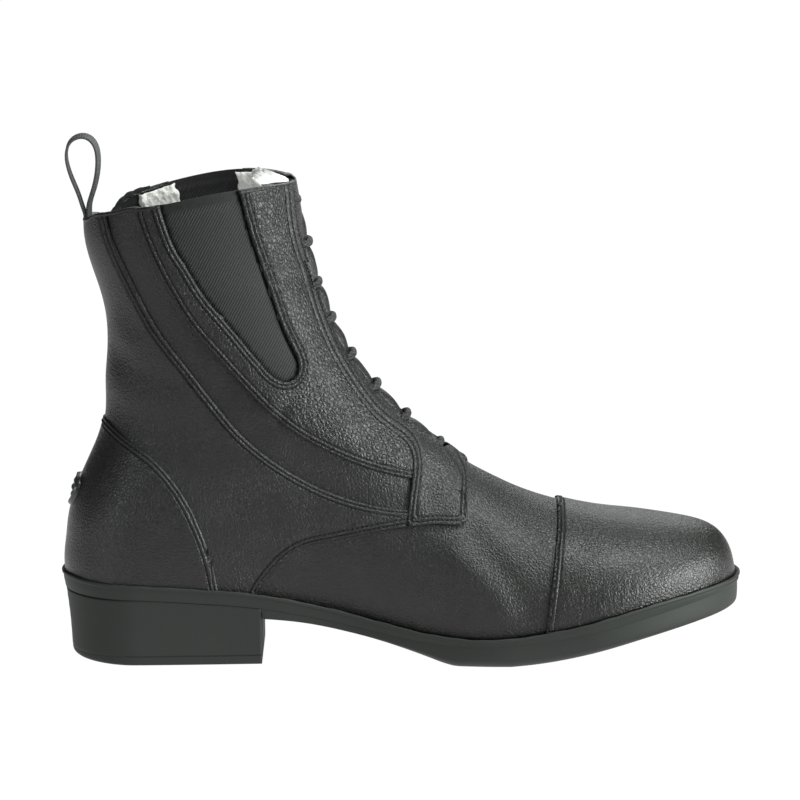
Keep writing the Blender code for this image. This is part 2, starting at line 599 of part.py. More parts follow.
def make_panels():
    margin = GAP / 2
    cap = CAP_EDGE + [(1.05, -0.060), (1.05, 0.480)]
    toe_cap = shell("toe_cap", GAP, GAP + PANEL, LEATHER_OVER)
    boolean(toe_cap, prism("form_toe_cap", cap, -0.12, 0.12), "INTERSECT")

    counter = COUNTER_EDGE + [(-0.040, -0.060)]
    heel_counter = shell("heel_counter", GAP, GAP + STAY, LEATHER_OVER)
    boolean(heel_counter, prism("form_counter", inset(counter, margin), -0.12, 0.12), "INTERSECT")

    quarter = SEAM_BACK + VAMP_EDGE[::-1] + COUNTER_EDGE[::-1] + [(-0.020, 1.200)]
    quarters = shell("quarters", GAP, GAP + PANEL, LEATHER_OVER)
    boolean(quarters, prism("form_quarters", inset(quarter, margin), -0.12, 0.12), "INTERSECT")

    surround = SEAM_LOW + [p for p in STAY_REAR if p[1] > 0.42] + GORE_FRONT + GORE_REAR[1:]
    stay = STAY_REAR + [(0.420, 1.220), (0.620, 0.700), (0.600, 0.530)] + TAB_FRONT[::-1]
    stay += TAB_FOOT[-2::-1][:-1]
    between = slit("cut_eyestays", 0.612, 0.0)
    middle = float(centre(0.0))
    for side, low, high in (("lateral", -0.12, middle), ("medial", middle, 0.12)):
        panel = shell("gore_panel_" + side, GAP, GAP + PANEL, LEATHER_OVER)
        boolean(panel, prism("form_gore_panel_" + side, inset(surround, margin), low, high),
                "INTERSECT")
        eyestay = shell("eyestay_" + side, GAP, GAP + STAY, LEATHER_OVER)
        boolean(eyestay, prism("form_eyestay_" + side, inset(stay, margin), low, high),
                "INTERSECT")
        boolean(eyestay, between, "DIFFERENCE")


# Tongue and lace
def bar_offset(share):
    """Height of the cord's centre over the form: over the tongue in the middle, under the
    facings at the sides. share = y over half the width between the facings."""
    under = -(WALL + GAP + LACE / 2 + 0.0002)
    over = BAR_STAND
    return under + (over - under) * (1 - ease((np.abs(share) - 0.30) / 0.72))


def under_bar(share, half):
    """The highest that the tongue may lie under a bar and keep clear of its round."""
    reach = LACE / 2 + GAP + 0.0002
    low = np.full(np.shape(share), 1.0)
    for step in np.linspace(-1.0, 1.0, 25):
        low = np.minimum(low, bar_offset(share + step * reach / half)
                         - reach * math.sqrt(1 - step * step))
    return low


def half_slit(level):
    along = smooth(FRONT_OF_LEVEL, level)
    return smooth(OPENING, np.clip(along, OPENING[0][0], OPENING[-1][0])) * SLIT


def make_tongue():
    bars = level_of(np.array(BARS))[::-1]
    step = 0.0030 / SHAFT
    levels, rise = [bars[0] - 0.13, bars[0] - 0.07], [0.0, 0.0]
    for k, level in enumerate(bars):
        levels += [level - step, level + step]
        rise += [0.0, 0.0]
        if k + 1 < len(bars):
            levels.append((level + bars[k + 1]) / 2)
            rise.append(1.0)
    levels += [levels[-1] + 0.016, 0.998]
    rise += [0.55, 0.40]
    levels, rise = np.array(levels), np.array(rise)
    half = half_slit(levels)
    side = TONGUE_WIDTH / 2 * (0.72 + 0.28 * ease((levels - 0.42) / 0.35))
    steps = [half * step for step in [0.0] + BAR_STEPS] + [half * 0.4 + side * 0.6, side]
    y = np.stack([-v for v in steps[:0:-1]] + steps, 1)
    level, _ = np.meshgrid(levels, np.arange(y.shape[1]), indexing="ij")
    clear = np.abs(y) / half[:, None]
    top = under_bar(clear, half[:, None])
    hidden = ease((level_of(OPENING[-1][0]) + 0.012 - level) / 0.012)
    floor = float(bar_offset(2.0)) - LACE / 2 - GAP - 0.0002
    top = top + (floor - top) * hidden
    puff = PUFF * rise[:, None] * (1 - ease((clear - 0.10) / 0.62)) * (1 - hidden)
    pad = ease((level - 0.86) / 0.14)
    low = floor - TONGUE - (TONGUE_PAD - TONGUE) * pad + 0.35 * (top - floor)
    upper_side = on_front(level, y + centre(0.0), top + puff)
    lower_side = on_front(level + TONGUE_RISE * pad, y + centre(0.0), low)
    rows, cols = level.shape
    n = rows * cols
    points = np.vstack([upper_side.reshape(-1, 3), lower_side.reshape(-1, 3)])
    faces = []
    for i in range(rows - 1):
        for j in range(cols - 1):
            a = i * cols + j
            faces.append((a, a + 1, a + 1 + cols, a + cols))
            faces.append((n + a + cols, n + a + 1 + cols, n + a + 1, n + a))
    for j in range(cols - 1):
        faces.append((j + 1, j, n + j, n + j + 1))
        a = (rows - 1) * cols + j
        faces.append((a, a + 1, n + a + 1, n + a))
    for i in range(rows - 1):
        a = i * cols
        faces.append((a, a + cols, n + a + cols, n + a))
        a = i * cols + cols - 1
        faces.append((a + cols, a, n + a, n + a + cols))
    return piece("tongue", points, faces, LINING)


def make_lace():
    """One cord: eight bars over the tongue, joined by turns that lie under the facings."""
    bars = level_of(np.array(BARS))
    spots = []
    for k, level in enumerate(bars):
        half = float(half_slit(level))
        sweep = np.array([-v for v in BAR_STEPS[::-1]] + [0.0] + BAR_STEPS)
        if k % 2:
            sweep = -sweep
        if k == 0:
            sweep = np.append(-1.25, sweep)
        if k == len(bars) - 1:
            sweep = np.append(sweep, math.copysign(1.25, sweep[-1]))
        for share in sweep:
            spots.append((level, share * half, float(bar_offset(share))))
        if k + 1 < len(bars):
            following = bars[k + 1]
            wide = (half + float(half_slit(following))) / 2 * 1.30
            side = 1.0 if sweep[-1] > 0 else -1.0
            spots.append((level * 0.62 + following * 0.38, side * wide, float(bar_offset(2.0))))
            spots.append((level * 0.38 + following * 0.62, side * wide, float(bar_offset(2.0))))
    spots = np.array(spots)
    points = on_front(spots[:, 0], spots[:, 1] + centre(0.0), spots[:, 2])
    curve = bpy.data.curves.new("lace", "CURVE")
    curve.dimensions = "3D"
    curve.bevel_depth = LACE / 2
    curve.bevel_resolution = 1
    curve.use_fill_caps = True
    line = curve.splines.new("POLY")
    line.points.add(len(points) - 1)
    for spot, point in zip(line.points, points):
        spot.co = (*point, 1.0)
    curve.materials.append(CORD)
    obj = bpy.data.objects.new("lace", curve)
    bpy.context.scene.collection.objects.link(obj)
    return obj


# Pull loop and spur rest
def ribbon(name, line, thick, wide, middle, mat):
    """A strip of tape along a line of the side view, its width on both sides of y = middle."""
    line = np.asarray(line)
    run = np.gradient(line, axis=0)
    run /= np.linalg.norm(run, axis=1, keepdims=True)
    out = np.stack([-run[:, 1], run[:, 0]], 1) * thick / 2
    points = []
    for (x, z), (dx, dz) in zip(line, out):
        low, high = middle - wide / 2, middle + wide / 2
        points += [(x + dx, low, z + dz), (x + dx, high, z + dz),
                   (x - dx, high, z - dz), (x - dx, low, z - dz)]
    faces = [(0, 1, 2, 3)]
    for i in range(len(line) - 1):
        for j in range(4):
            k = (j + 1) % 4
            faces.append((4 * i + j, 4 * i + 4 + j, 4 * i + 4 + k, 4 * i + k))
    last = 4 * (len(line) - 1)
    faces.append((last + 3, last + 2, last + 1, last))
    return piece(name, points, faces, mat)


def make_pull_loop():
    back = form(1.0, 0.0)
    rim_x, rim_z = float(back[0]), float(back[2])
    middle = rim_x + (WALL - GAP - PANEL) / 2
    outside = rim_x - GAP - PANEL - GAP - LOOP_TAPE / 2 - 0.0001
    inside = rim_x + WALL + GAP + LOOP_TAPE / 2 + 0.0005
    line = [(outside, rim_z - 0.0035), (outside, rim_z), (outside + 0.0001, rim_z + 0.0018)]
    line += [(middle + a * LOOP_DEPTH, rim_z + b * LOOP_HEIGHT) for a, b in LOOP_LINE]
    line += [(inside - 0.0006, rim_z + 0.0018), (inside, rim_z), (inside + 0.0002, rim_z - 0.004)]
    for down in (0.008, 0.012):
        level = 1.0 - down / SHAFT
        line.append((float(form(level, 0.0)[0]) + WALL + GAP + LOOP_TAPE / 2 + 0.0010, rim_z - down))
    return ribbon("pull_loop", line, LOOP_TAPE, LOOP_WIDTH, float(back[1]), TAPE)


def make_spur_rest():
    """A ledge on the back of the counter, with ribs across its face."""
    low_up = 0.190
    base = form(low_up, 0.0)
    z_low = float(base[2])
    z_high = z_low + SPUR_REST
    ledge = float(form(low_up + SPUR_REST / SHAFT, 0.0)[0]) - GAP - STAY - SPUR_STAND
    foot = float(base[0]) - GAP - STAY - 0.0006
    ribs = 4
    rows = [(z_low, foot + 0.0004)]
    for k in range(ribs):
        a = z_low + SPUR_REST * (0.10 + 0.80 * k / ribs)
        b = z_low + SPUR_REST * (0.10 + 0.80 * (k + 0.7) / ribs)
        for z, extra in ((a, 0.0), ((a * 2 + b) / 3, 1.0), ((a + 2 * b) / 3, 1.0), (b, 0.0)):
            share = (z - z_low) / SPUR_REST
            rows.append((z, foot + (ledge - foot) * share - extra * SPUR_RIB))
    rows += [(z_high - 0.0007, ledge - 0.0002), (z_high, ledge + 0.0008)]
    wide, middle = SPUR_WIDTH / 2, float(base[1])
    sides = np.linspace(-1.0, 1.0, 9)
    points, faces = [], []
    for z, x in rows:
        for s in sides:
            round_back = 0.35 * wide * s * s + 0.24 * wide * s**6
            points.append((x + round_back, middle + wide * s, z))
        points += [(x + 0.020, middle + wide, z), (x + 0.020, middle - wide, z)]
    loop = len(sides) + 2
    for i in range(len(rows) - 1):
        for j in range(loop):
            k = (j + 1) % loop
            faces.append((i * loop + j, i * loop + k, (i + 1) * loop + k, (i + 1) * loop + j))
    faces += [tuple(range(loop))[::-1], tuple((len(rows) - 1) * loop + i for i in range(loop))]
    rest = piece("spur_rest", points, faces, RUBBER)
    n = LEVELS * AROUND
    solid = list(grid(GAP + STAY + GAP))
    top, bottom = np.mean(solid[-AROUND:], axis=0), np.mean(solid[:AROUND], axis=0)
    faces = tube_faces(LEVELS, AROUND)
    last = (LEVELS - 1) * AROUND
    for j in range(AROUND):
        k = (j + 1) % AROUND
        faces += [(last + j, last + k, n), (k, j, n + 1)]
    boolean(rest, cutter("cut_spur_rest", solid + [top, bottom], faces), "DIFFERENCE")


make_outsole()
make_heel()
make_insole()
make_upper()
make_panels()
make_tongue()
make_lace()
make_pull_loop()
make_spur_rest()
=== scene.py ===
# %% [markdown]
# # A jodhpur boot, dressed
#
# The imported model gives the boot's solids. This script lays leather, elastic, fleece, cord
# and tape over them and lights the result like the studio photograph. Each step first says
# what the thing is on the real boot, then makes it.

import math

import bpy
import numpy as np
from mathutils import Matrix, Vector


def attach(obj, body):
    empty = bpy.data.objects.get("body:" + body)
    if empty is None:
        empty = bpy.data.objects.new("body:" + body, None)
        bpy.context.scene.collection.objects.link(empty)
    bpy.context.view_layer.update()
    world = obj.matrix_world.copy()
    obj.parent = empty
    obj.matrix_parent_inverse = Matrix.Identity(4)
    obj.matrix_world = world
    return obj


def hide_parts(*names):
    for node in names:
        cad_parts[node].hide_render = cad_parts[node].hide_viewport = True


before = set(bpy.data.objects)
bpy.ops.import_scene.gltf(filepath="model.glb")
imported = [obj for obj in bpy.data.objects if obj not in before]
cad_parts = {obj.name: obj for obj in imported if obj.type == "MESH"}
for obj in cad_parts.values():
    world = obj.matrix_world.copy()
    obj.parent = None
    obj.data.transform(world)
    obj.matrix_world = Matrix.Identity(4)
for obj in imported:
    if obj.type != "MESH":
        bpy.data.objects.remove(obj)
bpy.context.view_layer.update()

# %% [markdown]
# ## The studio
#
# A product photographer stands well back with a long lens, so that the heel and the toe have
# the same scale. The camera looks at the outer side from a little above. The boot stands on
# a white sheet that is lit so brightly that it has no edge, and large soft lamps give the
# black leather its broad sheen. A sheet that gives off a little light itself does the same.

# %% Camera
MIDDLE = -0.00377                    # y of the plane that halves the heel
CAMERA_PLACE = Vector((0.0, MIDDLE - 2.06, 0.495))
CAMERA_AIM = Vector((0.0, MIDDLE, 0.1110))
CAMERA_LENS = 216.44                 # mm on a 36 mm sensor
CAMERA_ROLL = math.radians(-0.5)

camera_data = bpy.data.cameras.new("camera")
camera_data.lens = CAMERA_LENS
camera_data.clip_end = 20.0
camera = bpy.data.objects.new("camera", camera_data)
bpy.context.scene.collection.objects.link(camera)
camera.location = CAMERA_PLACE
camera.rotation_euler = (CAMERA_AIM - CAMERA_PLACE).to_track_quat("-Z", "Y").to_euler()
camera.rotation_euler.rotate_axis("Z", CAMERA_ROLL)
bpy.context.scene.camera = camera

# %% [markdown]
# ## Shader arithmetic
#
# A finish is a sum of patterns. `Link` holds a node's output and turns `a * 2 + b` into Math
# nodes, so that a material reads like the formula that it is.


# %% Links between nodes
class Link:
    """A node's output. The arithmetic signs add Math nodes; add() makes any other node."""

    def __init__(self, tree, socket):
        self.tree, self.socket = tree, socket

    @staticmethod
    def add(tree, kind, settings=None, inputs=None, output=0):
        """A node of a type, with its settings and then its sockets' values or links."""
        node = tree.nodes.new(kind)
        for name, value in (settings or {}).items():
            if name == "stops":
                ramp = node.color_ramp
                while len(ramp.elements) < len(value):
                    ramp.elements.new(0.5)
                for element, (place, shade) in zip(ramp.elements, value):
                    element.position, element.color = place, (shade, shade, shade, 1.0)
            else:
                setattr(node, name, value)
        for name, value in (inputs or {}).items():
            if isinstance(value, Link):
                tree.links.new(value.socket, node.inputs[name])
            else:
                node.inputs[name].default_value = value
        return Link(tree, node.outputs[output])

    def math(self, operation, *others, clamp=False):
        values = dict(enumerate((self, *others)))
        settings = {"operation": operation, "use_clamp": clamp}
        return Link.add(self.tree, "ShaderNodeMath", settings, values)

    def __add__(self, other):
        return self.math("ADD", other)

    def __mul__(self, other):
        return self.math("MULTIPLY", other)

    def __sub__(self, other):
        return self.math("SUBTRACT", other)

    def __pow__(self, other):
        return self.math("POWER", other)

    def __rsub__(self, other):
        return (self * -1.0) + other

    __radd__, __rmul__ = __add__, __mul__

    def clip(self):
        return self.math("ADD", 0.0, clamp=True)

    def tint(self, dark, light):
        """A colour between two, dark where the value is 0 and light where it is 1."""
        inputs = {0: self, 6: (*dark, 1.0), 7: (*light, 1.0)}
        return Link.add(self.tree, "ShaderNodeMix", {"data_type": "RGBA"}, inputs, 2)


class Finish:
    """A material with its Principled shader, and the patterns that a finish starts from."""

    def __init__(self, name):
        self.material = bpy.data.materials.new(name)
        self.material.use_nodes = True
        self.tree = self.material.node_tree
        self.shader = self.tree.nodes["Principled BSDF"]
        self.place = self.add("ShaderNodeTexCoord", output="Object")

    def add(self, kind, settings=None, inputs=None, output=0):
        return Link.add(self.tree, kind, settings, inputs, output)

    def noise(self, size, detail=2.0, vector=None):
        """Soft noise whose blots are about size wide, in metres."""
        inputs = {"Vector": vector or self.place, "Scale": 1.0 / size, "Detail": detail}
        return self.add("ShaderNodeTexNoise", {}, inputs)

    def cells(self, size, feature, vector=None):
        """Distance to the middle, or to the edge, of cells about size wide."""
        inputs = {"Vector": vector or self.place, "Scale": 1.0 / size}
        return self.add("ShaderNodeTexVoronoi", {"feature": feature}, inputs)

    def attribute(self, name):
        return self.add("ShaderNodeAttribute", {"attribute_name": name}, output="Fac")

    def part(self, axis):
        """One coordinate: axis 0 is x, 2 is z."""
        return self.add("ShaderNodeSeparateXYZ", {}, {0: self.place}, output=axis)

    def bump(self, height, distance, strength=1.0):
        inputs = {"Height": height, "Distance": distance, "Strength": strength}
        return self.add("ShaderNodeBump", {}, inputs)

    def set(self, **values):
        """Sets the shader's sockets: base_color, roughness, coat_weight and so on."""
        for name, value in values.items():
            socket = self.shader.inputs[name.replace("_", " ").title().replace("Ior", "IOR")]
            if isinstance(value, Link):
                self.tree.links.new(value.socket, socket)
            elif isinstance(value, tuple):
                socket.default_value = (*value, 1.0)
            else:
                socket.default_value = value
        return self.material


# %% Floor, world and lamps
FLOOR_GLOW, WORLD_LIGHT = 1.0, 0.08
FLOOR_SIDE, FLOOR_NEAR, FLOOR_FAR = 0.8, -0.3, 5.0   # the sheet ends just before the boot
LAMP_COLOUR = (0.95, 1.0, 0.99)
LAMPS = {  # place; point that it faces; side of its square in metres; watts
    "lamp_toe_side": ((1.25, -0.52, 0.30), (0.0, 0.0, 0.12), 0.80, 38.0),
    "lamp_overhead": ((0.45, -0.25, 1.30), (0.08, 0.0, 0.08), 0.70, 18.0),
    "lamp_behind": ((0.15, 1.50, 0.85), (0.05, 0.0, 0.08), 0.90, 6.0),
    "lamp_front": ((0.35, -1.70, 0.95), (0.05, 0.0, 0.06), 0.70, 1.3),
    "lamp_heel_side": ((-1.05, -0.95, 0.40), (-0.10, 0.0, 0.08), 0.50, 4.5)}

floor_mesh = bpy.data.meshes.new("floor")
floor_mesh.from_pydata([(-FLOOR_SIDE, FLOOR_NEAR, 0), (FLOOR_SIDE, FLOOR_NEAR, 0),
                        (FLOOR_SIDE, FLOOR_FAR, 0), (-FLOOR_SIDE, FLOOR_FAR, 0)],
                       [], [(0, 1, 2, 3)])
floor = bpy.data.objects.new("floor", floor_mesh)
bpy.context.scene.collection.objects.link(floor)
floor_finish = Finish("white sheet")
floor.data.materials.append(floor_finish.set(
    base_color=(0.03, 0.03, 0.03), roughness=0.9, specular_ior_level=0.0,
    emission_color=(1.0, 1.0, 1.0), emission_strength=FLOOR_GLOW))

world = bpy.data.worlds.new("studio")
world.use_nodes = True
world.node_tree.nodes["Background"].inputs["Color"].default_value = (1.0, 1.0, 1.0, 1.0)
world.node_tree.nodes["Background"].inputs["Strength"].default_value = WORLD_LIGHT
bpy.context.scene.world = world
bpy.context.scene.view_settings.view_transform = "Standard"

for name, (place, aim, size, watts) in LAMPS.items():
    data = bpy.data.lights.new(name, "AREA")
    data.shape, data.size, data.energy = "SQUARE", size, watts
    data.color = LAMP_COLOUR
    lamp = bpy.data.objects.new(name, data)
    bpy.context.scene.collection.objects.link(lamp)
    lamp.location = place
    lamp.rotation_euler = (Vector(aim) - Vector(place)).to_track_quat("-Z", "Y").to_euler()

# %% [markdown]
# ## The last
#
# A shoemaker pulls every piece of leather over one last. Here the last is a function: from a
# level between the sole (0) and the collar (1) and an angle round the boot (0 at the back,
# half a turn at the front) it gives a point. Every panel, seam and stitch is laid on it.

# %% Sizes and tables of the last
LENGTH, BALL_WIDTH, WAIST_WIDTH, HEEL_WIDTH = 0.2975, 0.100, 0.064, 0.068
HEEL_SEAT, FORE_SOLE, TOE_SPRING = 0.0335, 0.0130, 0.0195
SHAFT, ANKLE_WIDTH, COLLAR_WIDTH = 0.1580, 0.0665, 0.0780
LEDGE, WALL, PANEL, STAY, GAP = 0.0036, 0.0022, 0.0010, 0.0018, 0.0003
BAND, TOP_LIFT, HEEL_BREAST = 0.0050, 0.0044, 0.0880
COLLAR_RISE, OUTER_RISE, INNER_DIP, HEEL_SIDE = 0.015, 0.0145, 0.034, 0.0377
HEEL_ROUND, TOE_ROUND = 0.50, 0.70

SEAT_LINE = [  # along, share of the heel's height, share of the toe spring
    (0.000, 1.10, 0.000), (0.062, 1.04, 0.000), (0.176, 0.99, 0.000), (0.250, 0.93, 0.000),
    (0.298, 0.845, 0.000), (0.355, 0.673, 0.000), (0.412, 0.478, 0.000), (0.470, 0.273, 0.000),
    (0.527, 0.100, 0.000), (0.584, 0.010, 0.000), (0.641, 0.000, 0.012), (0.689, 0.000, 0.095),
    (0.736, 0.000, 0.215), (0.787, 0.000, 0.385), (0.857, 0.000, 0.650), (0.935, 0.000, 0.870),
    (1.000, 0.000, 1.000)]
OUTLINE = [  # along, shares of the heel's, the waist's and the ball's half width
    (0.00, 1.00, 0.00, 0.00), (0.18, 1.00, 0.00, 0.00), (0.30, 0.50, 0.50, 0.00),
    (0.40, 0.00, 1.00, 0.00), (0.47, 0.00, 0.80, 0.20), (0.53, 0.00, 0.52, 0.48),
    (0.59, 0.00, 0.22, 0.78), (0.64, 0.00, 0.06, 0.94), (0.70, 0.00, 0.00, 1.00),
    (1.00, 0.00, 0.00, 1.00)]
INWARD = [(0.00, 0.000), (0.50, 0.000), (0.60, 0.008), (0.70, 0.030), (0.85, 0.055), (1.00, 0.065)]
RIDGE = [  # along, up: the front line from the collar down to the toe
    (0.3350, 1.260), (0.3478, 1.146), (0.3586, 1.020), (0.3658, 0.923), (0.3820, 0.846),
    (0.3968, 0.773), (0.4157, 0.711), (0.4427, 0.650), (0.4730, 0.594), (0.5078, 0.546),
    (0.5405, 0.506), (0.5708, 0.467), (0.6022, 0.425), (0.6464, 0.3785), (0.7054, 0.324),
    (0.7644, 0.273), (0.8234, 0.2260), (0.8825, 0.1850), (0.9115, 0.1665), (0.9401, 0.1465),
    (0.9536, 0.1335), (0.9654, 0.1160), (0.9762, 0.0880), (0.9826, 0.0608), (0.9863, 0.0316),
    (0.9887, 0.0000)]
BACK = [  # up, along: the back line
    (0.000, 0.0118), (0.055, 0.0108), (0.112, 0.0147), (0.169, 0.0184), (0.224, 0.0268),
    (0.280, 0.0376), (0.337, 0.0514), (0.393, 0.0639), (0.447, 0.0717), (0.500, 0.0740),
    (0.560, 0.0747), (0.644, 0.0774), (0.700, 0.0788), (0.757, 0.0750), (0.812, 0.0673),
    (0.867, 0.0578), (0.922, 0.0495), (0.965, 0.0462), (1.000, 0.0464), (1.100, 0.0485)]
FRONT_OF_LEVEL = [  # level, along the ridge
    (0.00, 0.9887), (0.04, 0.9840), (0.09, 0.9680), (0.14, 0.9350), (0.19, 0.8850),
    (0.24, 0.8200), (0.29, 0.7450), (0.34, 0.6650), (0.39, 0.5950), (0.44, 0.5450),
    (0.50, 0.4950), (0.56, 0.4520), (0.62, 0.4200), (0.70, 0.3930), (0.80, 0.3720),
    (0.90, 0.3595), (1.00, 0.3478), (1.10, 0.3400)]
SHAFT_WIDTH = [  # up, share of the way from the ankle's half width to the collar's
    (0.00, 0.05), (0.30, 0.05), (0.45, 0.00), (0.58, 0.12), (0.72, 0.38), (0.86, 0.68),
    (1.00, 0.92), (1.20, 1.08)]
OPENING = [  # along the ridge, half the gap between the facings as a share of SLIT
    (0.330, 1.46), (0.352, 1.40), (0.366, 1.32), (0.395, 1.24), (0.440, 1.16), (0.500, 1.08),
    (0.545, 0.99), (0.553, 0.93), (0.5590, 0.72), (0.5605, 0.40), (0.5620, 0.12), (0.5635, 0.03)]
SLIT, SPLIT = 0.0092, 0.03


# %% Curves through the tables
TURN = 2 * math.pi


def hermite(table, x, column=1):
    """The smooth curve through a table's rows, read at x."""
    rows = np.asarray(table, float)
    tx, ty = rows[:, 0], rows[:, column]
    slope = np.gradient(ty, tx)
    x = np.clip(np.asarray(x, float), tx[0], tx[-1])
    i = np.clip(np.searchsorted(tx, x, side="right") - 1, 0, len(tx) - 2)
    h = tx[i + 1] - tx[i]
    u = (x - tx[i]) / h
    return ((2 * u**3 - 3 * u**2 + 1) * ty[i] + (u**3 - 2 * u**2 + u) * h * slope[i]
            + (3 * u**2 - 2 * u**3) * ty[i + 1] + (u**3 - u**2) * h * slope[i + 1])


def soften(values, width):
    """Values averaged with their neighbours over a bell of that width in samples. The ends
    are continued by turning the curve about its end points, so that they stay in place."""
    reach = int(3 * width) + 1
    bell = np.exp(-0.5 * (np.arange(-reach, reach + 1) / width) ** 2)
    first = 2 * values[0] - values[reach:0:-1]
    last = 2 * values[-1] - values[-2:-reach - 2:-1]
    return np.convolve(np.concatenate([first, values, last]), bell / bell.sum(), "valid")


def curve(table, blur, column=1):
    """A table as a function: its smooth curve, with bends softened over a width of blur."""
    x = np.linspace(table[0][0], table[-1][0], 1601)
    y = soften(hermite(table, x, column), blur / (x[1] - x[0]))
    return lambda q: np.interp(q, x, y)


def ease(x):
    """0 below 0 and 1 above 1, with a smooth step between."""
    x = np.clip(x, 0.0, 1.0)
    return x * x * (3 - 2 * x)


def bow(x, power=2.0):
    """0 at x = 0, rising like the side of an ellipse to 1 at x = 1 and beyond."""
    return np.sqrt(np.clip(1 - (1 - np.clip(x, 0.0, 1.0)) ** power, 0.0, 1.0))


def unit(vectors):
    """Vectors along the last axis, made one long."""
    return vectors / np.maximum(np.linalg.norm(vectors, axis=-1, keepdims=True), 1e-12)


def run_length(points):
    """Length along a line of points, 0 at its first."""
    return np.concatenate([[0], np.cumsum(np.linalg.norm(np.diff(points, axis=0), axis=1))])


def around(count):
    """Angles of a whole turn, the end left out."""
    return np.linspace(0, TURN, count, endpoint=False)


seat_heel, seat_toe = curve(SEAT_LINE, 0.012, 1), curve(SEAT_LINE, 0.012, 2)
heel_share, waist_share, ball_share = (curve(OUTLINE, 0.015, c) for c in (1, 2, 3))
inward, back_line, shaft_wide = curve(INWARD, 0.02), curve(BACK, 0.018), curve(SHAFT_WIDTH, 0.02)
opening = curve(OPENING, 0.003)
LEVEL = np.linspace(0.0, 1.1, 1401)
FRONT_ALONG = soften(hermite(FRONT_OF_LEVEL, LEVEL), 0.012 / (LEVEL[1] - LEVEL[0]))
FRONT_UP = soften(hermite(RIDGE, hermite(FRONT_OF_LEVEL, LEVEL)), 0.012 / (LEVEL[1] - LEVEL[0]))


# %% The last as a function
def seat(x):
    """Height of the sole's top line."""
    along = x / LENGTH + 0.5
    return FORE_SOLE + (HEEL_SEAT - FORE_SOLE) * seat_heel(along) + TOE_SPRING * seat_toe(along)


def half_width(along, inset=0.0):
    return (HEEL_WIDTH / 2 * heel_share(along) + WAIST_WIDTH / 2 * waist_share(along)
            + BALL_WIDTH / 2 * ball_share(along) - inset)


def outline(x, inset=0.0, toe_inset=None):
    """Half width of the sole at x: straight sides between two round ends, drawn in."""
    toe_inset = inset if toe_inset is None else toe_inset
    return (half_width(x / LENGTH + 0.5, inset)
            * bow((x + LENGTH / 2 - inset) / (HEEL_WIDTH * HEEL_ROUND - inset))
            * bow((LENGTH / 2 - toe_inset - x) / (BALL_WIDTH * TOE_ROUND - toe_inset)))


def centre(x):
    return BALL_WIDTH * (inward(x / LENGTH + 0.5) - HEEL_SIDE)


def ridge_up(along):
    beyond = np.clip(FRONT_ALONG[-1] - along, 0.0, None)
    return np.interp(along, FRONT_ALONG[::-1], FRONT_UP[::-1]) + beyond * 15


def side_width(along, up):
    """Half width of the last over a point of the side view: an arch over the sole for the
    foot, an oval between the back line and the front line for the shaft."""
    back = back_line(up)
    x, x_back = along * LENGTH, back * LENGTH
    share = np.clip(up / np.maximum(ridge_up(along), 1e-6), 0.0, 1.0)
    bulge = 1 + (0.03 + 0.10 * np.exp(-((along - 0.43) / 0.11) ** 2)) * np.sin(
        math.pi * np.clip(up / 0.42, 0.0, 1.0))
    foot = (half_width(along, LEDGE) * bulge * np.sqrt(np.clip(1 - share ** 2.25, 0.0, 1.0))
            * bow((x - x_back) / (HEEL_WIDTH / 2 - LEDGE))
            * bow((RIDGE[-1][0] * LENGTH - x) / (BALL_WIDTH * TOE_ROUND - LEDGE)))
    front = np.interp(up, FRONT_UP, FRONT_ALONG)
    middle, reach = (front + back) / 2, (front - back) / 2
    ratio = np.clip(np.abs(along - middle) / reach, 0.0, 1.0)
    wide = ANKLE_WIDTH / 2 + (COLLAR_WIDTH - ANKLE_WIDTH) / 2 * shaft_wide(up)
    shaft = wide * np.sqrt(np.clip(1 - ratio ** 2.15, 0.0, 1.0))
    mix = ease((up - 0.17) / 0.35)
    return foot * (1 - mix) + shaft * mix


def form(level, angle):
    """The last's surface: each level runs from the back line to the front line, and the
    angle goes round it with more room for the sides."""
    level, angle = np.broadcast_arrays(np.asarray(level, float), np.asarray(angle, float))
    share = (1 - np.cos(angle)) / 2
    front = np.interp(level, LEVEL, FRONT_ALONG)
    along = (1 - share) * back_line(level) + share * front
    rise = np.sin(math.pi * share) ** 0.8 * np.clip(level, 0, None) ** 6
    dip = np.where(np.sin(angle) < 0, np.exp(-((share - 0.09) / 0.045) ** 2), 0.0)
    outer = np.where(np.sin(angle) > 0, ease(share / 0.08) * (1 - ease((share - 0.16) / 0.28)), 0)
    sides = OUTER_RISE * outer - INNER_DIP * dip
    arch = COLLAR_RISE * rise + sides * np.clip(level, 0, None) ** 8
    up = (1 - share) * level + share * np.where(level <= 0, 0.0, ridge_up(front))
    x = (along - 0.5) * LENGTH
    y = centre(x) - np.sign(np.sin(angle)) * side_width(along, up)
    return np.stack([x, y, seat(x) + GAP + (up + arch) * SHAFT], -1)
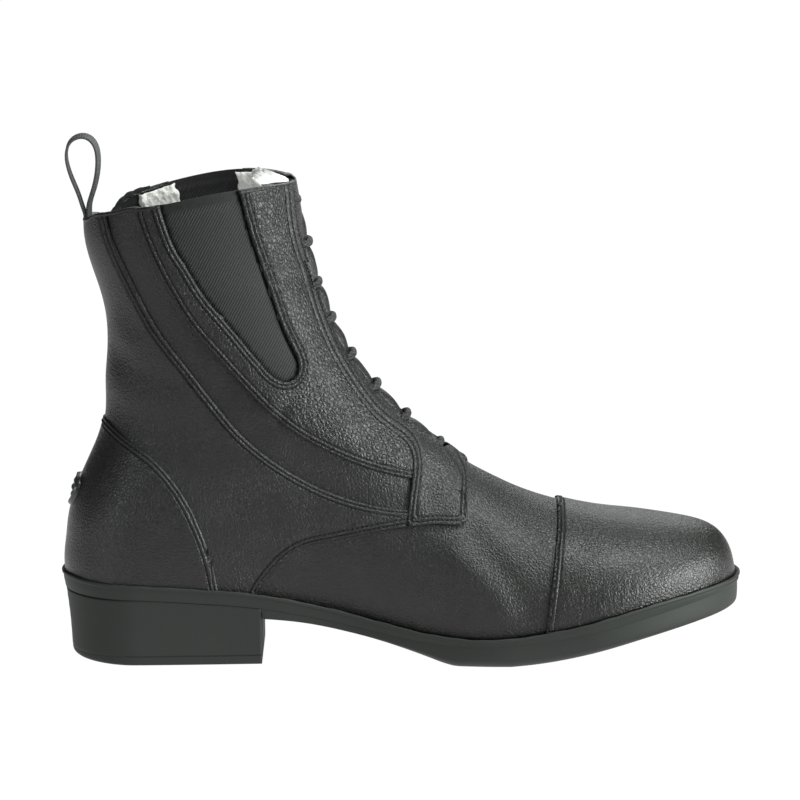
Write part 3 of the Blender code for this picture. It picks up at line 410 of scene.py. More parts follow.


# %% [markdown]
# ## Creases
#
# Worn and packed leather keeps soft folds: across the vamp behind the toe cap, across the
# shaft at the ankle, and round the bottom of the elastic. Each is a straight trough or ridge
# in the side view that fades at its ends. They are listed in shares of the boot.

# %% Creases
CREASES = [  # from along, up; to along, up; width, height in metres
    (0.690, 0.020, 0.590, 0.300, 0.0050, -0.0009),
    (0.662, 0.020, 0.570, 0.240, 0.0050, 0.0006),
    (0.610, 0.010, 0.520, 0.190, 0.0055, -0.0006),
    (0.600, 0.340, 0.640, 0.280, 0.0050, -0.0005),
    (0.392, 0.640, 0.325, 0.500, 0.0030, -0.0010),
    (0.360, 0.560, 0.250, 0.455, 0.0060, 0.0006),
    (0.085, 0.650, 0.200, 0.590, 0.0055, -0.0007),
    (0.080, 0.560, 0.190, 0.520, 0.0060, 0.0006),
    (0.090, 0.740, 0.140, 0.690, 0.0050, 0.0004),
    (0.440, 0.560, 0.480, 0.440, 0.0050, -0.0004),
    (0.560, 0.440, 0.545, 0.340, 0.0040, -0.0006)]
INSTEP = 0.0014                      # fullness of the leather over the instep, below the lace


def waves(points, size, seed, count=14):
    """Smooth unevenness of about -1 to 1: a sum of plane waves in random directions."""
    draw = np.random.default_rng(seed)
    ways = draw.normal(size=(count, 3))
    ways = unit(ways) * TURN / (size * draw.uniform(0.7, 1.5, (count, 1)))
    phase = draw.uniform(0, TURN, count)
    return np.sin(points @ ways.T + phase).sum(-1) * math.sqrt(2 / count) * 0.6


def relief(points):
    """How far the leather stands off the last: the creases and a slight unevenness."""
    along = points[..., 0] / LENGTH + 0.5
    up = (points[..., 2] - seat(points[..., 0])) / SHAFT
    total = 0.00012 * waves(points, 0.030, 5)
    top = up / np.maximum(ridge_up(along), 0.05)
    total = total + INSTEP * np.exp(-((along - 0.615) / 0.060) ** 2) * ease((top - 0.45) / 0.5)
    for a0, u0, a1, u1, width, height in CREASES:
        run = np.array([(a1 - a0) * LENGTH, (u1 - u0) * SHAFT])
        long = float(np.hypot(*run))
        run /= long
        dx, dz = (along - a0) * LENGTH, (up - u0) * SHAFT
        t = (dx * run[0] + dz * run[1]) / long
        across = dz * run[0] - dx * run[1] + 0.004 * np.sin(math.pi * t)
        fade = ease(t * 3 + 0.5) * ease((1 - t) * 3 + 0.5)
        total = total + height * fade * np.exp(-(across / width) ** 2)
    edge = ease(up / 0.10) * ease((1.02 - up) / 0.12)
    return total * edge


def skin(level, angle, offset):
    """The last moved along its normal by the offset and the relief. At the sole and at the
    collar the normal is level, so that the edges stay at their height."""
    level, angle = np.broadcast_arrays(np.asarray(level, float), np.asarray(angle, float))
    step, turn = 0.004, 0.012
    rise = form(np.clip(level + step, 0, 1.1), angle) - form(np.clip(level - step, 0, 1.1), angle)
    round_ = form(level, angle + turn) - form(level, angle - turn)
    normal = np.cross(round_, rise)
    normal[..., 2] *= ease(np.minimum(level / 0.03, np.abs(1 - level) / 0.03))
    base = form(level, angle)
    return base + unit(normal) * (np.asarray(offset, float) + relief(base))[..., None]


# %% [markdown]
# ## Seam lines
#
# The pattern cutter's lines, drawn in the side view as shares of the boot's length and of the
# shaft's height over the sole. Both sides of the boot are cut to the same lines.

# %% Seam lines
CAP_EDGE = [(0.7310, 0.480), (0.7291, 0.320), (0.7285, 0.290), (0.7255, 0.245), (0.7215, 0.203),
            (0.7171, 0.137), (0.7127, 0.073), (0.7075, 0.000), (0.7040, -0.060)]
COUNTER_EDGE = [(-0.020, 0.470), (0.0400, 0.465), (0.0700, 0.455), (0.0994, 0.414),
                (0.1204, 0.3925), (0.1496, 0.353), (0.1669, 0.317), (0.1889, 0.259),
                (0.2051, 0.196), (0.2218, 0.1135), (0.2327, 0.015), (0.2390, -0.060)]
VAMP_EDGE = [(0.2790, -0.060), (0.2902, 0.015), (0.3079, 0.064), (0.3337, 0.129),
             (0.3630, 0.171), (0.3863, 0.188), (0.4309, 0.226), (0.4693, 0.258), (0.5088, 0.284)]
TAB_FOOT = [(0.5088, 0.284), (0.5478, 0.3005), (0.5900, 0.3065), (0.5958, 0.3128)]
TAB_FRONT = [(0.5958, 0.3128), (0.5946, 0.348), (0.5952, 0.374), (0.5961, 0.401),
             (0.5942, 0.428), (0.5887, 0.447), (0.5802, 0.4685), (0.5691, 0.488), (0.560, 0.530)]
STAY_REAR = [(0.5088, 0.284), (0.5098, 0.330), (0.5134, 0.386), (0.5165, 0.426),
             (0.5160, 0.465), (0.5140, 0.487), (0.5009, 0.5075), (0.4865, 0.523),
             (0.4692, 0.540), (0.4500, 0.568), (0.4326, 0.604), (0.4147, 0.647),
             (0.4004, 0.686), (0.3884, 0.728), (0.3764, 0.7825), (0.3652, 0.846),
             (0.3552, 0.909), (0.3473, 0.9435), (0.3427, 0.980), (0.3378, 1.017),
             (0.3357, 1.053), (0.3341, 1.088), (0.3324, 1.125), (0.3300, 1.220)]
GORE_FRONT = [(0.2600, 1.250), (0.2726, 1.119), (0.2795, 1.060), (0.2890, 0.993), (0.3007, 0.927),
              (0.3089, 0.879), (0.3194, 0.8235), (0.3295, 0.767), (0.3427, 0.717),
              (0.3532, 0.679), (0.3555, 0.651), (0.3487, 0.624), (0.3334, 0.611)]
GORE_REAR = [(0.3334, 0.611), (0.3182, 0.620), (0.3030, 0.648), (0.2857, 0.683),
             (0.2665, 0.7265), (0.2449, 0.773), (0.2230, 0.821), (0.2063, 0.872),
             (0.1939, 0.9125), (0.1810, 0.950), (0.1685, 1.012), (0.1592, 1.071), (0.1500, 1.250)]
SEAM_LOW = [(0.1130, 1.200), (0.1232, 1.045), (0.1327, 0.986), (0.1451, 0.932), (0.1623, 0.862),
            (0.1796, 0.805), (0.1963, 0.747), (0.2174, 0.702), (0.2394, 0.658),
            (0.2611, 0.610), (0.2823, 0.5715), (0.3121, 0.519), (0.3392, 0.486),
            (0.3663, 0.463), (0.3936, 0.446), (0.4216, 0.4315), (0.4498, 0.421),
            (0.4773, 0.4145), (0.5159, 0.4096), (0.5400, 0.4060)]
SEAM_BACK = [(0.0740, 1.200), (0.0813, 1.036), (0.0872, 0.977), (0.1002, 0.922), (0.1174, 0.852),
             (0.1342, 0.790), (0.1494, 0.730), (0.1687, 0.683), (0.1863, 0.6435),
             (0.2075, 0.590), (0.2294, 0.5396), (0.2513, 0.4866), (0.2825, 0.428),
             (0.3154, 0.388), (0.3641, 0.348), (0.3972, 0.331), (0.4406, 0.3235),
             (0.4696, 0.3235), (0.5099, 0.3299), (0.5400, 0.3370)]


def corners(*points):
    """Straight corners of a panel in the side view, from shares to metres."""
    rows = np.asarray(points, float)
    x = (rows[:, 0] - 0.5) * LENGTH
    return np.stack([x, seat(x) + GAP + rows[:, 1] * SHAFT], 1)


def seam(table, blur=0.0022, step=0.0012):
    """A seam line in metres of the side view, x and z, with its bends softened."""
    line = corners(*table)
    run = run_length(line)
    even = np.linspace(0.0, run[-1], max(8, int(run[-1] / 0.0004)))
    fine = [soften(hermite(np.stack([run, line[:, k]], 1), even), blur / (even[1] - even[0]))
            for k in (0, 1)]
    keep = np.linspace(0, len(even) - 1, max(4, int(run[-1] / step))).astype(int)
    return np.stack(fine, 1)[keep]


def distance(points, line, closed=True):
    """Distance from points of the side view to a line, in metres. For a closed outline it is
    positive inside and negative outside."""
    a = line if closed else line[:-1]
    b = np.roll(line, -1, axis=0) if closed else line[1:]
    best = np.full(len(points), np.inf)
    inside = np.zeros(len(points), bool)
    px, pz = points[:, 0], points[:, 1]
    for (ax, az), (bx, bz) in zip(a, b):
        dx, dz = bx - ax, bz - az
        t = np.clip(((px - ax) * dx + (pz - az) * dz) / max(dx * dx + dz * dz, 1e-18), 0, 1)
        best = np.minimum(best, (px - ax - t * dx) ** 2 + (pz - az - t * dz) ** 2)
        if closed:
            crosses = (az > pz) != (bz > pz)
            inside ^= crosses & (px < ax + (pz - az) * dx / (dz if dz else 1e-18))
    best = np.sqrt(best)
    return np.where(inside, best, -best) if closed else best


cap_line, counter_line, vamp_line = (seam(t, 0.005) for t in (CAP_EDGE, COUNTER_EDGE, VAMP_EDGE))
low_line, rear_line = seam(SEAM_LOW, 0.007), seam(SEAM_BACK, 0.007)
stay_line = seam(STAY_REAR, 0.004)
gore_line = seam(GORE_FRONT + GORE_REAR[1:], 0.0028)
tab_foot_line, tab_front_line = seam(TAB_FOOT, 0.0006), seam(TAB_FRONT, 0.0012)
tab_line = np.vstack([tab_foot_line, tab_front_line[2:]])
print("seam lines have", len(cap_line), "to", len(stay_line), "points")


# %% [markdown]
# ## Cutting panels
#
# A panel is cut from a fine net of triangles over the last. `split` cuts the net along a line
# at a chosen distance from the panel's edge, and `keep` throws away what lies outside, like
# shears. More cuts beside the edge give the points that its round edge and its stitch grooves
# need. All of it is array work on the net's corners.


# %% Nets over the last
class Net:
    """Triangles over the last. Each corner has a level, an angle and named distances."""

    def __init__(self, levels, angles):
        level, angle = np.meshgrid(levels, angles, indexing="ij")
        rows, cols = level.shape
        self.data = {"level": level.ravel(), "angle": angle.ravel()}
        a = (np.arange(rows - 1)[:, None] * cols + np.arange(cols - 1)).ravel()
        self.tris = np.concatenate([np.stack([a, a + 1, a + 1 + cols], 1),
                                    np.stack([a, a + 1 + cols, a + cols], 1)])

    def side(self):
        """The corners in the side view, x and z."""
        return form(self.data["level"], self.data["angle"])[:, [0, 2]]

    def split(self, name, value):
        """Cuts each triangle that the line name = value crosses: the lone corner keeps a
        small triangle, and the other two corners share the four-sided rest."""
        f = self.data[name] - value
        f = np.where(np.abs(f) < 1e-8, 1e-8, f)
        above = f[self.tris] > 0
        count = above.sum(1)
        cut = (count == 1) | (count == 2)
        tri, above, one = self.tris[cut], above[cut], count[cut] == 1
        if not len(tri):
            return self
        lone = np.where(one[:, None], above, ~above).argmax(1)
        row = np.arange(len(tri))
        a, b, c = (tri[row, (lone + k) % 3] for k in (0, 1, 2))
        size = len(f)
        low = np.concatenate([np.minimum(a, b), np.minimum(a, c)])
        high = np.concatenate([np.maximum(a, b), np.maximum(a, c)])
        key, back = np.unique(low.astype(np.int64) * size + high, return_inverse=True)
        u, v = key // size, key % size
        w = f[u] / (f[u] - f[v])
        for field, values in self.data.items():
            self.data[field] = np.concatenate([values, values[u] * (1 - w) + values[v] * w])
        p, q = size + back[:len(tri)], size + back[len(tri):]
        self.tris = np.concatenate([self.tris[~cut], np.stack([a, p, q], 1),
                                    np.stack([p, b, c], 1), np.stack([p, c, q], 1)])
        return self

    def keep(self, name, value=0.0):
        """Keeps the triangles on the high side of a line, and only the corners they use."""
        inner = self.data[name][self.tris].mean(1) > value
        used, back = np.unique(self.tris[inner], return_inverse=True)
        self.tris = back.reshape(-1, 3)
        self.data = {field: values[used] for field, values in self.data.items()}
        return self

    def line(self, name, value, key):
        """Level and angle of the corners on the line name = value, in the order of key."""
        on = np.abs(self.data[name] - value) < 1e-9
        order = np.argsort(self.data[key][on])
        return self.data["level"][on][order], self.data["angle"][on][order]


def make_mesh(name, points, faces, finish, attributes=None):
    """A smooth mesh object with welded points, at the origin."""
    points = np.asarray(points, float)
    faces = np.asarray(faces)
    key = np.round(points * 2e6).astype(np.int64)      # points within half a micrometre are one
    _, first, back = np.unique(key, axis=0, return_index=True, return_inverse=True)
    faces = back.reshape(-1)[faces]
    if faces.shape[1] == 3:
        sound = (faces[:, 0] != faces[:, 1]) & (faces[:, 1] != faces[:, 2]) & (
            faces[:, 2] != faces[:, 0])
        faces = faces[sound]
    mesh = bpy.data.meshes.new(name)
    mesh.vertices.add(len(first))
    mesh.vertices.foreach_set("co", points[first].ravel())
    count, corner = faces.shape
    mesh.loops.add(count * corner)
    mesh.polygons.add(count)
    mesh.polygons.foreach_set("loop_start", np.arange(count) * corner)
    mesh.loops.foreach_set("vertex_index", faces.ravel())
    mesh.update(calc_edges=True)
    mesh.validate()
    mesh.polygons.foreach_set("use_smooth", np.full(len(mesh.polygons), True))
    for label, values in (attributes or {}).items():
        layer = mesh.attributes.new(label, "FLOAT", "POINT")
        layer.data.foreach_set("value", np.asarray(values, np.float32)[first])
    mesh.materials.append(finish)
    obj = bpy.data.objects.new(name, mesh)
    bpy.context.scene.collection.objects.link(obj)
    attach(obj, "root")
    return obj


def thicken(obj, thickness):
    """Closes a panel into a sheet of leather: its other face lies inside the first."""
    mod = obj.modifiers.new("leather thickness", "SOLIDIFY")
    mod.thickness, mod.offset, mod.use_rim = thickness, -1.0, True


# %% [markdown]
# ## Leather
#
# Full-grain cowhide with an aniline black finish. Its grain is a net of fine creases round
# pebbles about a millimetre wide, flatter where the leather is pulled tight over the toe and
# the counter. The finish has a satin gloss, and each pebble catches the light by itself.


# %% Leather finish
def leather(name, grain=1.0, gloss=0.40, shade=1.0, pebble=0.0015, wrinkle=0.0):
    """Black grained leather. grain scales the pebbles' height, gloss is its roughness, pebble
    their size, and wrinkle the height of fine upright wrinkles. The pebbles are cells: round
    on top, with a narrow crease between."""
    f = Finish(name)
    bend = f.add("ShaderNodeVectorMath", {"operation": "MULTIPLY_ADD"}, {
        0: f.add("ShaderNodeTexNoise", {}, {"Vector": f.place, "Scale": 420.0}, "Color"),
        1: (0.0014, 0.0014, 0.0014), 2: f.place})
    crease = f.cells(pebble, "DISTANCE_TO_EDGE", bend)
    small = f.cells(pebble * 0.45, "DISTANCE_TO_EDGE", bend)
    fine = f.noise(0.00045, 3.0)
    patches = f.noise(0.016, 2.0)
    pebbles = (crease * 2.3).clip() ** 0.7
    height = pebbles * (patches * 0.9 + 0.5) + (small * 4.0).clip() * 0.14 + fine * 0.14
    if wrinkle:
        tall = f.add("ShaderNodeVectorMath", {"operation": "MULTIPLY"},
                     {0: bend, 1: (1.0, 0.4, 0.22)})
        height = height + f.noise(0.0013, 2.0, tall) * wrinkle
    groove = f.attribute("groove").clip()
    # The stitch grooves are painted darker here: painted shade in the seams' hollows, added to the
    # leather's own mottle.
    mottle_and_groove_shade = (patches * 0.4 + fine * 0.3 + pebbles * 0.3 - groove * 0.7).clip()
    dark = tuple(c * shade for c in (0.0022, 0.0022, 0.0019))
    light = tuple(c * shade for c in (0.0150, 0.0152, 0.0134))
    rough = mottle_and_groove_shade * 0.10 + (gloss - 0.05) + groove * 0.25
    return f.set(base_color=mottle_and_groove_shade.tint(dark, light), roughness=rough,
                 normal=f.bump(height, 0.00034 * grain, 1.0), specular_ior_level=0.46,
                 coat_weight=0.03, coat_roughness=0.30)


vamp_leather = leather("leather, vamp", 0.5, 0.42)
cap_leather = leather("leather, toe cap", 0.42, 0.38, wrinkle=1.8)
counter_leather = leather("leather, counter", 0.45, 0.38)
quarter_leather = leather("leather, quarters", 0.60, 0.42, 0.95)
panel_leather = leather("leather, gore panel", 0.95, 0.38, 1.0, 0.0017)
stay_leather = leather("leather, facing", 0.60, 0.42, 0.95)

# %% [markdown]
# ## Panels
#
# Each panel lies on the one below it: its middle stands its own thickness higher, its edge is
# rounded down to the leather beneath, and its stitch rows pull it down into shallow grooves.

# %% Cutting and laying a panel
def beside(line, away):
    """A line moved sideways: away > 0 lies on its left as it runs."""
    run = unit(np.gradient(line, axis=0))
    return line + np.stack([-run[:, 1], run[:, 0]], 1) * away


ROWS = (0.0016, 0.0033)              # distance of the two stitch rows from a panel's edge
GROOVE, GROOVE_WIDTH = 0.00046, 0.00030
PLUMP, PLUMP_WIDTH = 0.00030, 0.00050   # the leather puffs up between the two rows
EDGE_ROUND, TUCK = 0.0009, 0.0003    # round of a panel's edge, and how deep it goes under
SHEET = 0.0008                       # thickness of a panel
CUTS = (0.0, 0.00012, 0.00035, 0.0007, 0.0011, 0.0013, 0.0016, 0.0019, 0.0024, 0.0030, 0.0033,
        0.0036, 0.0042)
LEVELS = np.linspace(0.0, 1.0, 128)
ANGLES = np.linspace(0.0, TURN, 205)
ANGLES = ANGLES + 0.10 * np.sin(2 * ANGLES)    # closer together at the back and the front


def lift(edge, seam_away, low, high):
    """Offset of a panel's face: a quarter round up from the leather below its edge, then
    level, less a bell-shaped groove at each stitch row beside the seam."""
    rise = low + (high - low) * bow(edge / EDGE_ROUND)
    for row in ROWS:
        rise = rise - GROOVE * np.exp(-((seam_away - row) / GROOVE_WIDTH) ** 2)
    return rise + PLUMP * np.exp(-((seam_away - sum(ROWS) / 2) / PLUMP_WIDTH) ** 2)


def half_slit(level):
    """Half the gap between the facings, and below the throat the slit between their tabs."""
    return np.maximum(opening(np.interp(level, LEVEL, FRONT_ALONG)), SPLIT) * SLIT


def wrapped(angles):
    """The same angles, but starting at the front, for a panel that crosses the back."""
    return angles - math.pi


print("net:", len(LEVELS), "levels by", len(ANGLES), "angles")


def lay(name, finish, outline_line, seams, top, low=-TUCK, angles=ANGLES, levels=LEVELS,
        slit=False, mirror=None, marks=(), replaces=()):
    """Cuts a panel, lays it on the last and returns its net.

    outline_line: its closed outline in the side view. seams: the open lines among its edges
    that are rounded and stitched. top, low: offset of its face and of its tucked edge. slit:
    also cut back from the gap between the facings. mirror: -1 for the outer side alone, 1 for
    the inner side alone. marks: lines of stitches inside the panel.
    """
    net = Net(levels, angles)
    if mirror is not None:
        net.data["half"] = np.sin(net.data["angle"]) * -mirror
        net.keep("half")
    net.data["inside"] = distance(net.side(), outline_line)
    net.data["near"] = (net.data["inside"] > -0.004).astype(float)
    net.keep("near", 0.01)
    net.data["seam"] = np.min([distance(net.side(), s, False) for s in seams], axis=0)
    net.data["edge"] = np.where(net.data["inside"] > 0, net.data["seam"], -net.data["seam"])
    if slit:
        y = form(net.data["level"], net.data["angle"])[:, 1]
        across = np.abs(y - centre(0.0)) - half_slit(net.data["level"])
        net.data["edge"] = np.minimum(net.data["edge"], across)
        net.data["inside"] = np.minimum(net.data["inside"], across)
    net.split("inside", 0.0).keep("inside", 0.0)
    for value in CUTS[1:5]:
        net.split("edge", value)
    for value in CUTS[5:]:
        net.split("seam", value)
    if marks:
        net.data["mark"] = np.min([distance(net.side(), m, False) for m in marks], axis=0)
        for value in (0.0002, 0.0005, 0.0010):
            net.split("mark", value)
    offset = lift(np.maximum(net.data["edge"], 0.0), net.data["seam"], low, top)
    # groove marks the stitch rows, where the leather finishes darken the colour as painted shade.
    groove = sum(np.exp(-((net.data["seam"] - row) / GROOVE_WIDTH) ** 2) for row in ROWS)
    if marks:
        sunk = np.exp(-(net.data["mark"] / GROOVE_WIDTH) ** 2)
        groove, offset = groove + sunk, offset - GROOVE * sunk
    points = skin(net.data["level"], net.data["angle"], offset)
    obj = make_mesh(name, points, net.tris, finish, attributes={"groove": groove})
    thicken(obj, SHEET)
    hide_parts(*replaces)
    print(f"{name}: {len(net.tris)} triangles")
    return net


OVER = GAP + PANEL                   # face of a panel that lies straight on the wall
cap_outline = np.vstack([cap_line, corners((1.05, -0.06), (1.05, 0.48))])
counter_outline = np.vstack([counter_line, corners((-0.04, -0.06))])
quarter_outline = np.vstack([rear_line, vamp_line[::-1], corners((-0.04, -0.06), (-0.04, 1.20))])
surround_outline = np.vstack([low_line, corners((0.56, 0.42), (0.55, 0.56), (0.47, 0.60),
                                                (0.40, 0.90), (0.38, 1.25)), gore_line])
stay_outline = np.vstack([stay_line, corners((0.420, 1.220), (0.620, 0.700), (0.600, 0.530)),
                          tab_line[::-1]])

hook = seam([(0.5480, 0.3860), (0.5710, 0.3840), (0.5830, 0.3790), (0.5890, 0.3700),
             (0.5918, 0.3550), (0.5925, 0.3310)], 0.0006)
hooks = [hook, beside(hook, -0.0019)[:-8]]
cap_net = lay("toe_cap_leather", cap_leather, cap_outline, [cap_line], OVER,
              levels=LEVELS[LEVELS < 0.42], replaces=["toe_cap"])
counter_net = lay("heel_counter_leather", counter_leather, counter_outline, [counter_line],
                  GAP + STAY, low=OVER - TUCK, angles=wrapped(ANGLES),
                  levels=LEVELS[LEVELS < 0.56], replaces=["heel_counter"])
lay("quarters_leather", quarter_leather, quarter_outline, [rear_line, vamp_line], OVER,
    angles=wrapped(ANGLES), replaces=["quarters"])
SIDES = (("lateral", -1), ("medial", 1))       # outer and inner side, with the sign of y
for side, mirror in SIDES:
    lay(f"gore_panel_{side}_leather", panel_leather, surround_outline, [low_line, gore_line],
        OVER, mirror=mirror, levels=LEVELS[LEVELS > 0.3], replaces=[f"gore_panel_{side}"])
    lay(f"facing_{side}_leather", stay_leather, stay_outline, [stay_line, tab_line],
        GAP + STAY, low=OVER - TUCK, mirror=mirror, slit=True, marks=hooks,
        levels=LEVELS[LEVELS > 0.15], replaces=[f"eyestay_{side}"])

# %% [markdown]
# ## Vamp, shaft and lining
#
# Under the panels the boot is one lasted wall. It shows as the vamp, and as the band between
# the quarter and the elastic. The wall is cut out for the elastic and slit down the front.
# Inside it is lined with white fleece, except behind the heel strip, where the lining is
# plain black cloth.

# %% Vamp and shaft
THROAT = OPENING[-1][0]              # along the ridge, where the facings meet
LEATHER_THICK, LINING_AT = 0.0010, -0.0013   # of the wall: thickness, and the lining's offset


def wall_net(levels, angles, gore_margin, slit_margin):
    """The wall's net, cut out for the elastic and the slit."""
    net = Net(levels, angles)
    net.data["gore"] = -distance(net.side(), gore_line)
    y = form(net.data["level"], net.data["angle"])[:, 1]
    across = np.abs(y - centre(0.0)) - half_slit(net.data["level"]) - slit_margin
    front = np.cos(net.data["angle"]) < 0
    closed = (np.interp(net.data["level"], LEVEL, FRONT_ALONG) > THROAT) | ~front
    net.data["slit"] = np.where(closed, 0.01, across)
    points = form(net.data["level"], net.data["angle"])
    net.data["gore"] = net.data["gore"] - gore_margin + 0.0006 * waves(points, 0.0045, 33)
    net.split("gore", 0.0).keep("gore", 0.0)
    return net.split("slit", 0.0).keep("slit", 0.0)


wall = wall_net(LEVELS, ANGLES, 0.0003, 0.0006)
vamp = make_mesh("vamp_and_shaft_leather", skin(wall.data["level"], wall.data["angle"], 0.0),
                 wall.tris, vamp_leather)
thicken(vamp, LEATHER_THICK)
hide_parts("upper")

# %% [markdown]
# ## Fleece
#
# The pile is a mass of small curls, white with a warm shade in its depths. Each curl is too
# fine for geometry, so the pile is a lumpy layer: ridged noise lifts it into curls and a fine
# bump gives the fibres. The layer swells from the collar's edge down into the boot.


# %% Fleece finish and lining
def fleece():
    f = Finish("white fleece")
    curl = f.cells(0.0016, "SMOOTH_F1")
    fibre = f.noise(0.0005, 4.0)
    height = (1 - curl) * 0.7 + fibre * 0.6
    shade = (f.noise(0.006, 3.0) * 0.8 + fibre * 0.4 - 0.1).clip()
    # A faint emission makes the fleece glow: painted light that whitens it beyond what the lamps
    # give.
    return f.set(base_color=shade.tint((0.66, 0.64, 0.59), (0.88, 0.88, 0.86)), roughness=0.95,
                 specular_ior_level=0.1, normal=f.bump(height, 0.0007, 0.8),
                 emission_color=(1.0, 0.99, 0.97), emission_strength=0.06)


def cloth():
    """Plain black weave: two sets of fine threads that cross."""
    f = Finish("black lining cloth")
    x, z = (f.part(axis) * (TURN / 0.0006) for axis in (0, 2))
    shade = f.noise(0.002, 3.0).tint((0.010, 0.010, 0.011), (0.022, 0.022, 0.023))
    return f.set(base_color=shade, roughness=0.85, specular_ior_level=0.25,
                 normal=f.bump(x.math("SINE") * z.math("SINE"), 0.00012, 0.8))


glowing_fleece_finish, black_cloth = fleece(), cloth()
PILE = 0.0026                        # thickness of the fleece
GORE_AT, GORE_THICK = -0.0006, 0.0012   # place and thickness of the elastic
STRIP_FRONT = 0.113                  # the black strip at the back ends here, along


def curls(points):
    """Lumps of the pile, 0 to 1: folded waves, so that their crests are sharp and soft by
    turns."""
    return 1 - np.abs(waves(points, 0.0040, 21)) * 0.6 - np.abs(waves(points, 0.0022, 22)) * 0.4


def line_with(name, finish, keep_front):
    """The fleece, which keeps what lies in front of STRIP_FRONT, or the black strip behind
    it: a sheet inside the wall, whose thickness is added after."""
    levels = np.concatenate([np.linspace(0.02, 0.80, 34), np.linspace(0.805, 0.994, 42)])
    turn = np.linspace(0.0, TURN, 337)
    net = wall_net(levels, wrapped(turn + 0.08 * np.sin(2 * turn)), -0.0026, 0.0016)
    along = net.side()[:, 0] / LENGTH + 0.5
    if keep_front:
        along = along + 0.0026 * waves(form(net.data["level"], net.data["angle"]), 0.0045, 31)
    net.data["front"] = (along - STRIP_FRONT) * (1.0 if keep_front else -1.0)
    net.split("front", 0.0).keep("front")
    level, angle = net.data["level"], net.data["angle"]
    margin = np.minimum(np.minimum(net.data["gore"], net.data["slit"]), net.data["front"] * 0.3)
    if keep_front:
        swell = bow(margin / 0.0022) * bow((1.0 - level) / 0.016) * bow(level / 0.05)
        lumps = 0.55 + 0.45 * curls(form(level, angle))
        depth = LINING_AT - GORE_THICK - 0.0004 - PILE * swell * lumps
    else:
        depth = np.full(len(level), LINING_AT - 0.0009)
    obj = make_mesh(name, skin(level, angle, depth), net.tris[:, ::-1], finish)
    thicken(obj, 0.0006)
    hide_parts("upper")
    print(f"{name}: {len(net.tris)} triangles")


line_with("fleece_lining", glowing_fleece_finish, True)
line_with("back_strip_lining", black_cloth, False)

# %% [markdown]
# ## Elastic gores
#
# Woven elastic webbing stretches lengthwise because rubber threads run between its ribs. Seen
# close it is a steep diagonal of fine ribs. The ribs are a sine of a slanted coordinate of the
# side view, crossed by a finer thread, and the top edge is a plain selvedge.


# %% Elastic finish and gores
RIB, RIB_TILT = 0.00110, math.radians(-28)     # distance of two ribs, and their slant


def elastic():
    f = Finish("black elastic webbing")
    x, z = f.part(0), f.part(2)
    slant = x * math.cos(RIB_TILT) + z * math.sin(RIB_TILT)
    wander = f.noise(0.012, 2.0) * 0.0004
    weave = ((slant + wander) * (TURN / RIB)).math("SINE") * 0.5 + 0.5
    thread = ((x * 0.5 + z * 0.9) * (TURN / 0.0007)).math("SINE")
    plain = 1 - f.attribute("selvedge")
    height = weave * 0.8 * plain + thread * 0.15
    shade = (weave * 0.55 * plain + f.noise(0.0011, 3.0) * 0.45).clip()
    return f.set(base_color=shade.tint((0.0085, 0.0085, 0.0083), (0.044, 0.045, 0.043)),
                 roughness=0.72, specular_ior_level=0.25, normal=f.bump(height, 0.00030, 0.9))


elastic_finish = elastic()
for side, mirror in SIDES:
    net = Net(np.append(np.linspace(0.45, 0.984, 104), [0.990, 0.995, 0.9985, 1.0]), ANGLES)
    net.data["half"] = np.sin(net.data["angle"]) * -mirror
    net.keep("half")
    net.data["inside"] = distance(net.side(), gore_line)
    net.split("inside", -0.0014).keep("inside", -0.0014)
    level = net.data["level"]
    selvedge = ease((level - 0.975) / 0.006)
    dip = np.where(net.data["inside"] < 0.0004, 0.0007, 0.0)      # its sides go under the wall
    depth = GORE_AT - dip - 0.0004 * np.exp(-((level - 0.974) / 0.004) ** 2)
    gore = make_mesh(f"gore_{side}_webbing", skin(level, net.data["angle"], depth), net.tris,
                     elastic_finish, attributes={"selvedge": selvedge})
    thicken(gore, GORE_THICK)
    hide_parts(f"gore_{side}")
    print(f"gore_{side}_webbing: {len(net.tris)} triangles")

# %% [markdown]
# ## Collar edge
#
# The top of every leather panel is folded over a tape, so the collar ends in a rounded bead
# that covers the panels' cut edges. A bead is a small oval carried along the collar's ring.
# It stops at the elastic, whose own woven edge is the collar there.

# %% Collar bead
BEAD_OUT, BEAD_IN, BEAD_HIGH = 0.0016, -0.0026, 0.0011


def closed_tube(rows, cols, wrap=True):
    """Quads over a grid whose columns join up, with closed ends when there are any."""
    i, j = np.meshgrid(np.arange(rows - 1), np.arange(cols), indexing="ij")
    k = (j + 1) % cols
    quads = np.stack([i * cols + j, i * cols + k, (i + 1) * cols + k, (i + 1) * cols + j], -1)
    quads = quads.reshape(-1, 4)
    if not wrap:
        return quads
    ends = []
    for base, order in ((0, -1), ((rows - 1) * cols, 1)):
        for a in range(1, cols // 2):
            quad = [base + a - 1, base + a, base + (cols - a - 1) % cols, base + (cols - a) % cols]
            ends.append(quad[::order])
    return np.concatenate([quads, np.array(ends)])


def bead(name, angles, finish):
    """A rounded bead on the collar between two angles."""
    angle = np.linspace(angles[0], angles[1], max(8, int(abs(angles[1] - angles[0]) * 70)))
    turn = around(14)
    middle, half = (BEAD_OUT + BEAD_IN) / 2, (BEAD_OUT - BEAD_IN) / 2
    offset = middle + half * np.cos(turn)[None, :] * np.ones((len(angle), 1))
    points = skin(1.0, angle[:, None], offset)
    wobble = 0.0002 * waves(points, 0.012, 33)
    points[..., 2] += BEAD_HIGH * (np.sin(turn)[None, :] - 0.75) + wobble
    obj = make_mesh(name, points.reshape(-1, 3), closed_tube(len(angle), len(turn)), finish)


def angle_where(level, share_line, mirror):
    """The angle at which a ring passes a line of the side view, on one side of the boot."""
    angle = np.linspace(0.02, math.pi - 0.02, 3000)
    inside = np.where(distance(form(level, angle)[:, [0, 2]], share_line) > 0)[0]
    first, last = angle[inside[0]], angle[inside[-1]]
    return (first, last) if mirror < 0 else (-first, -last)


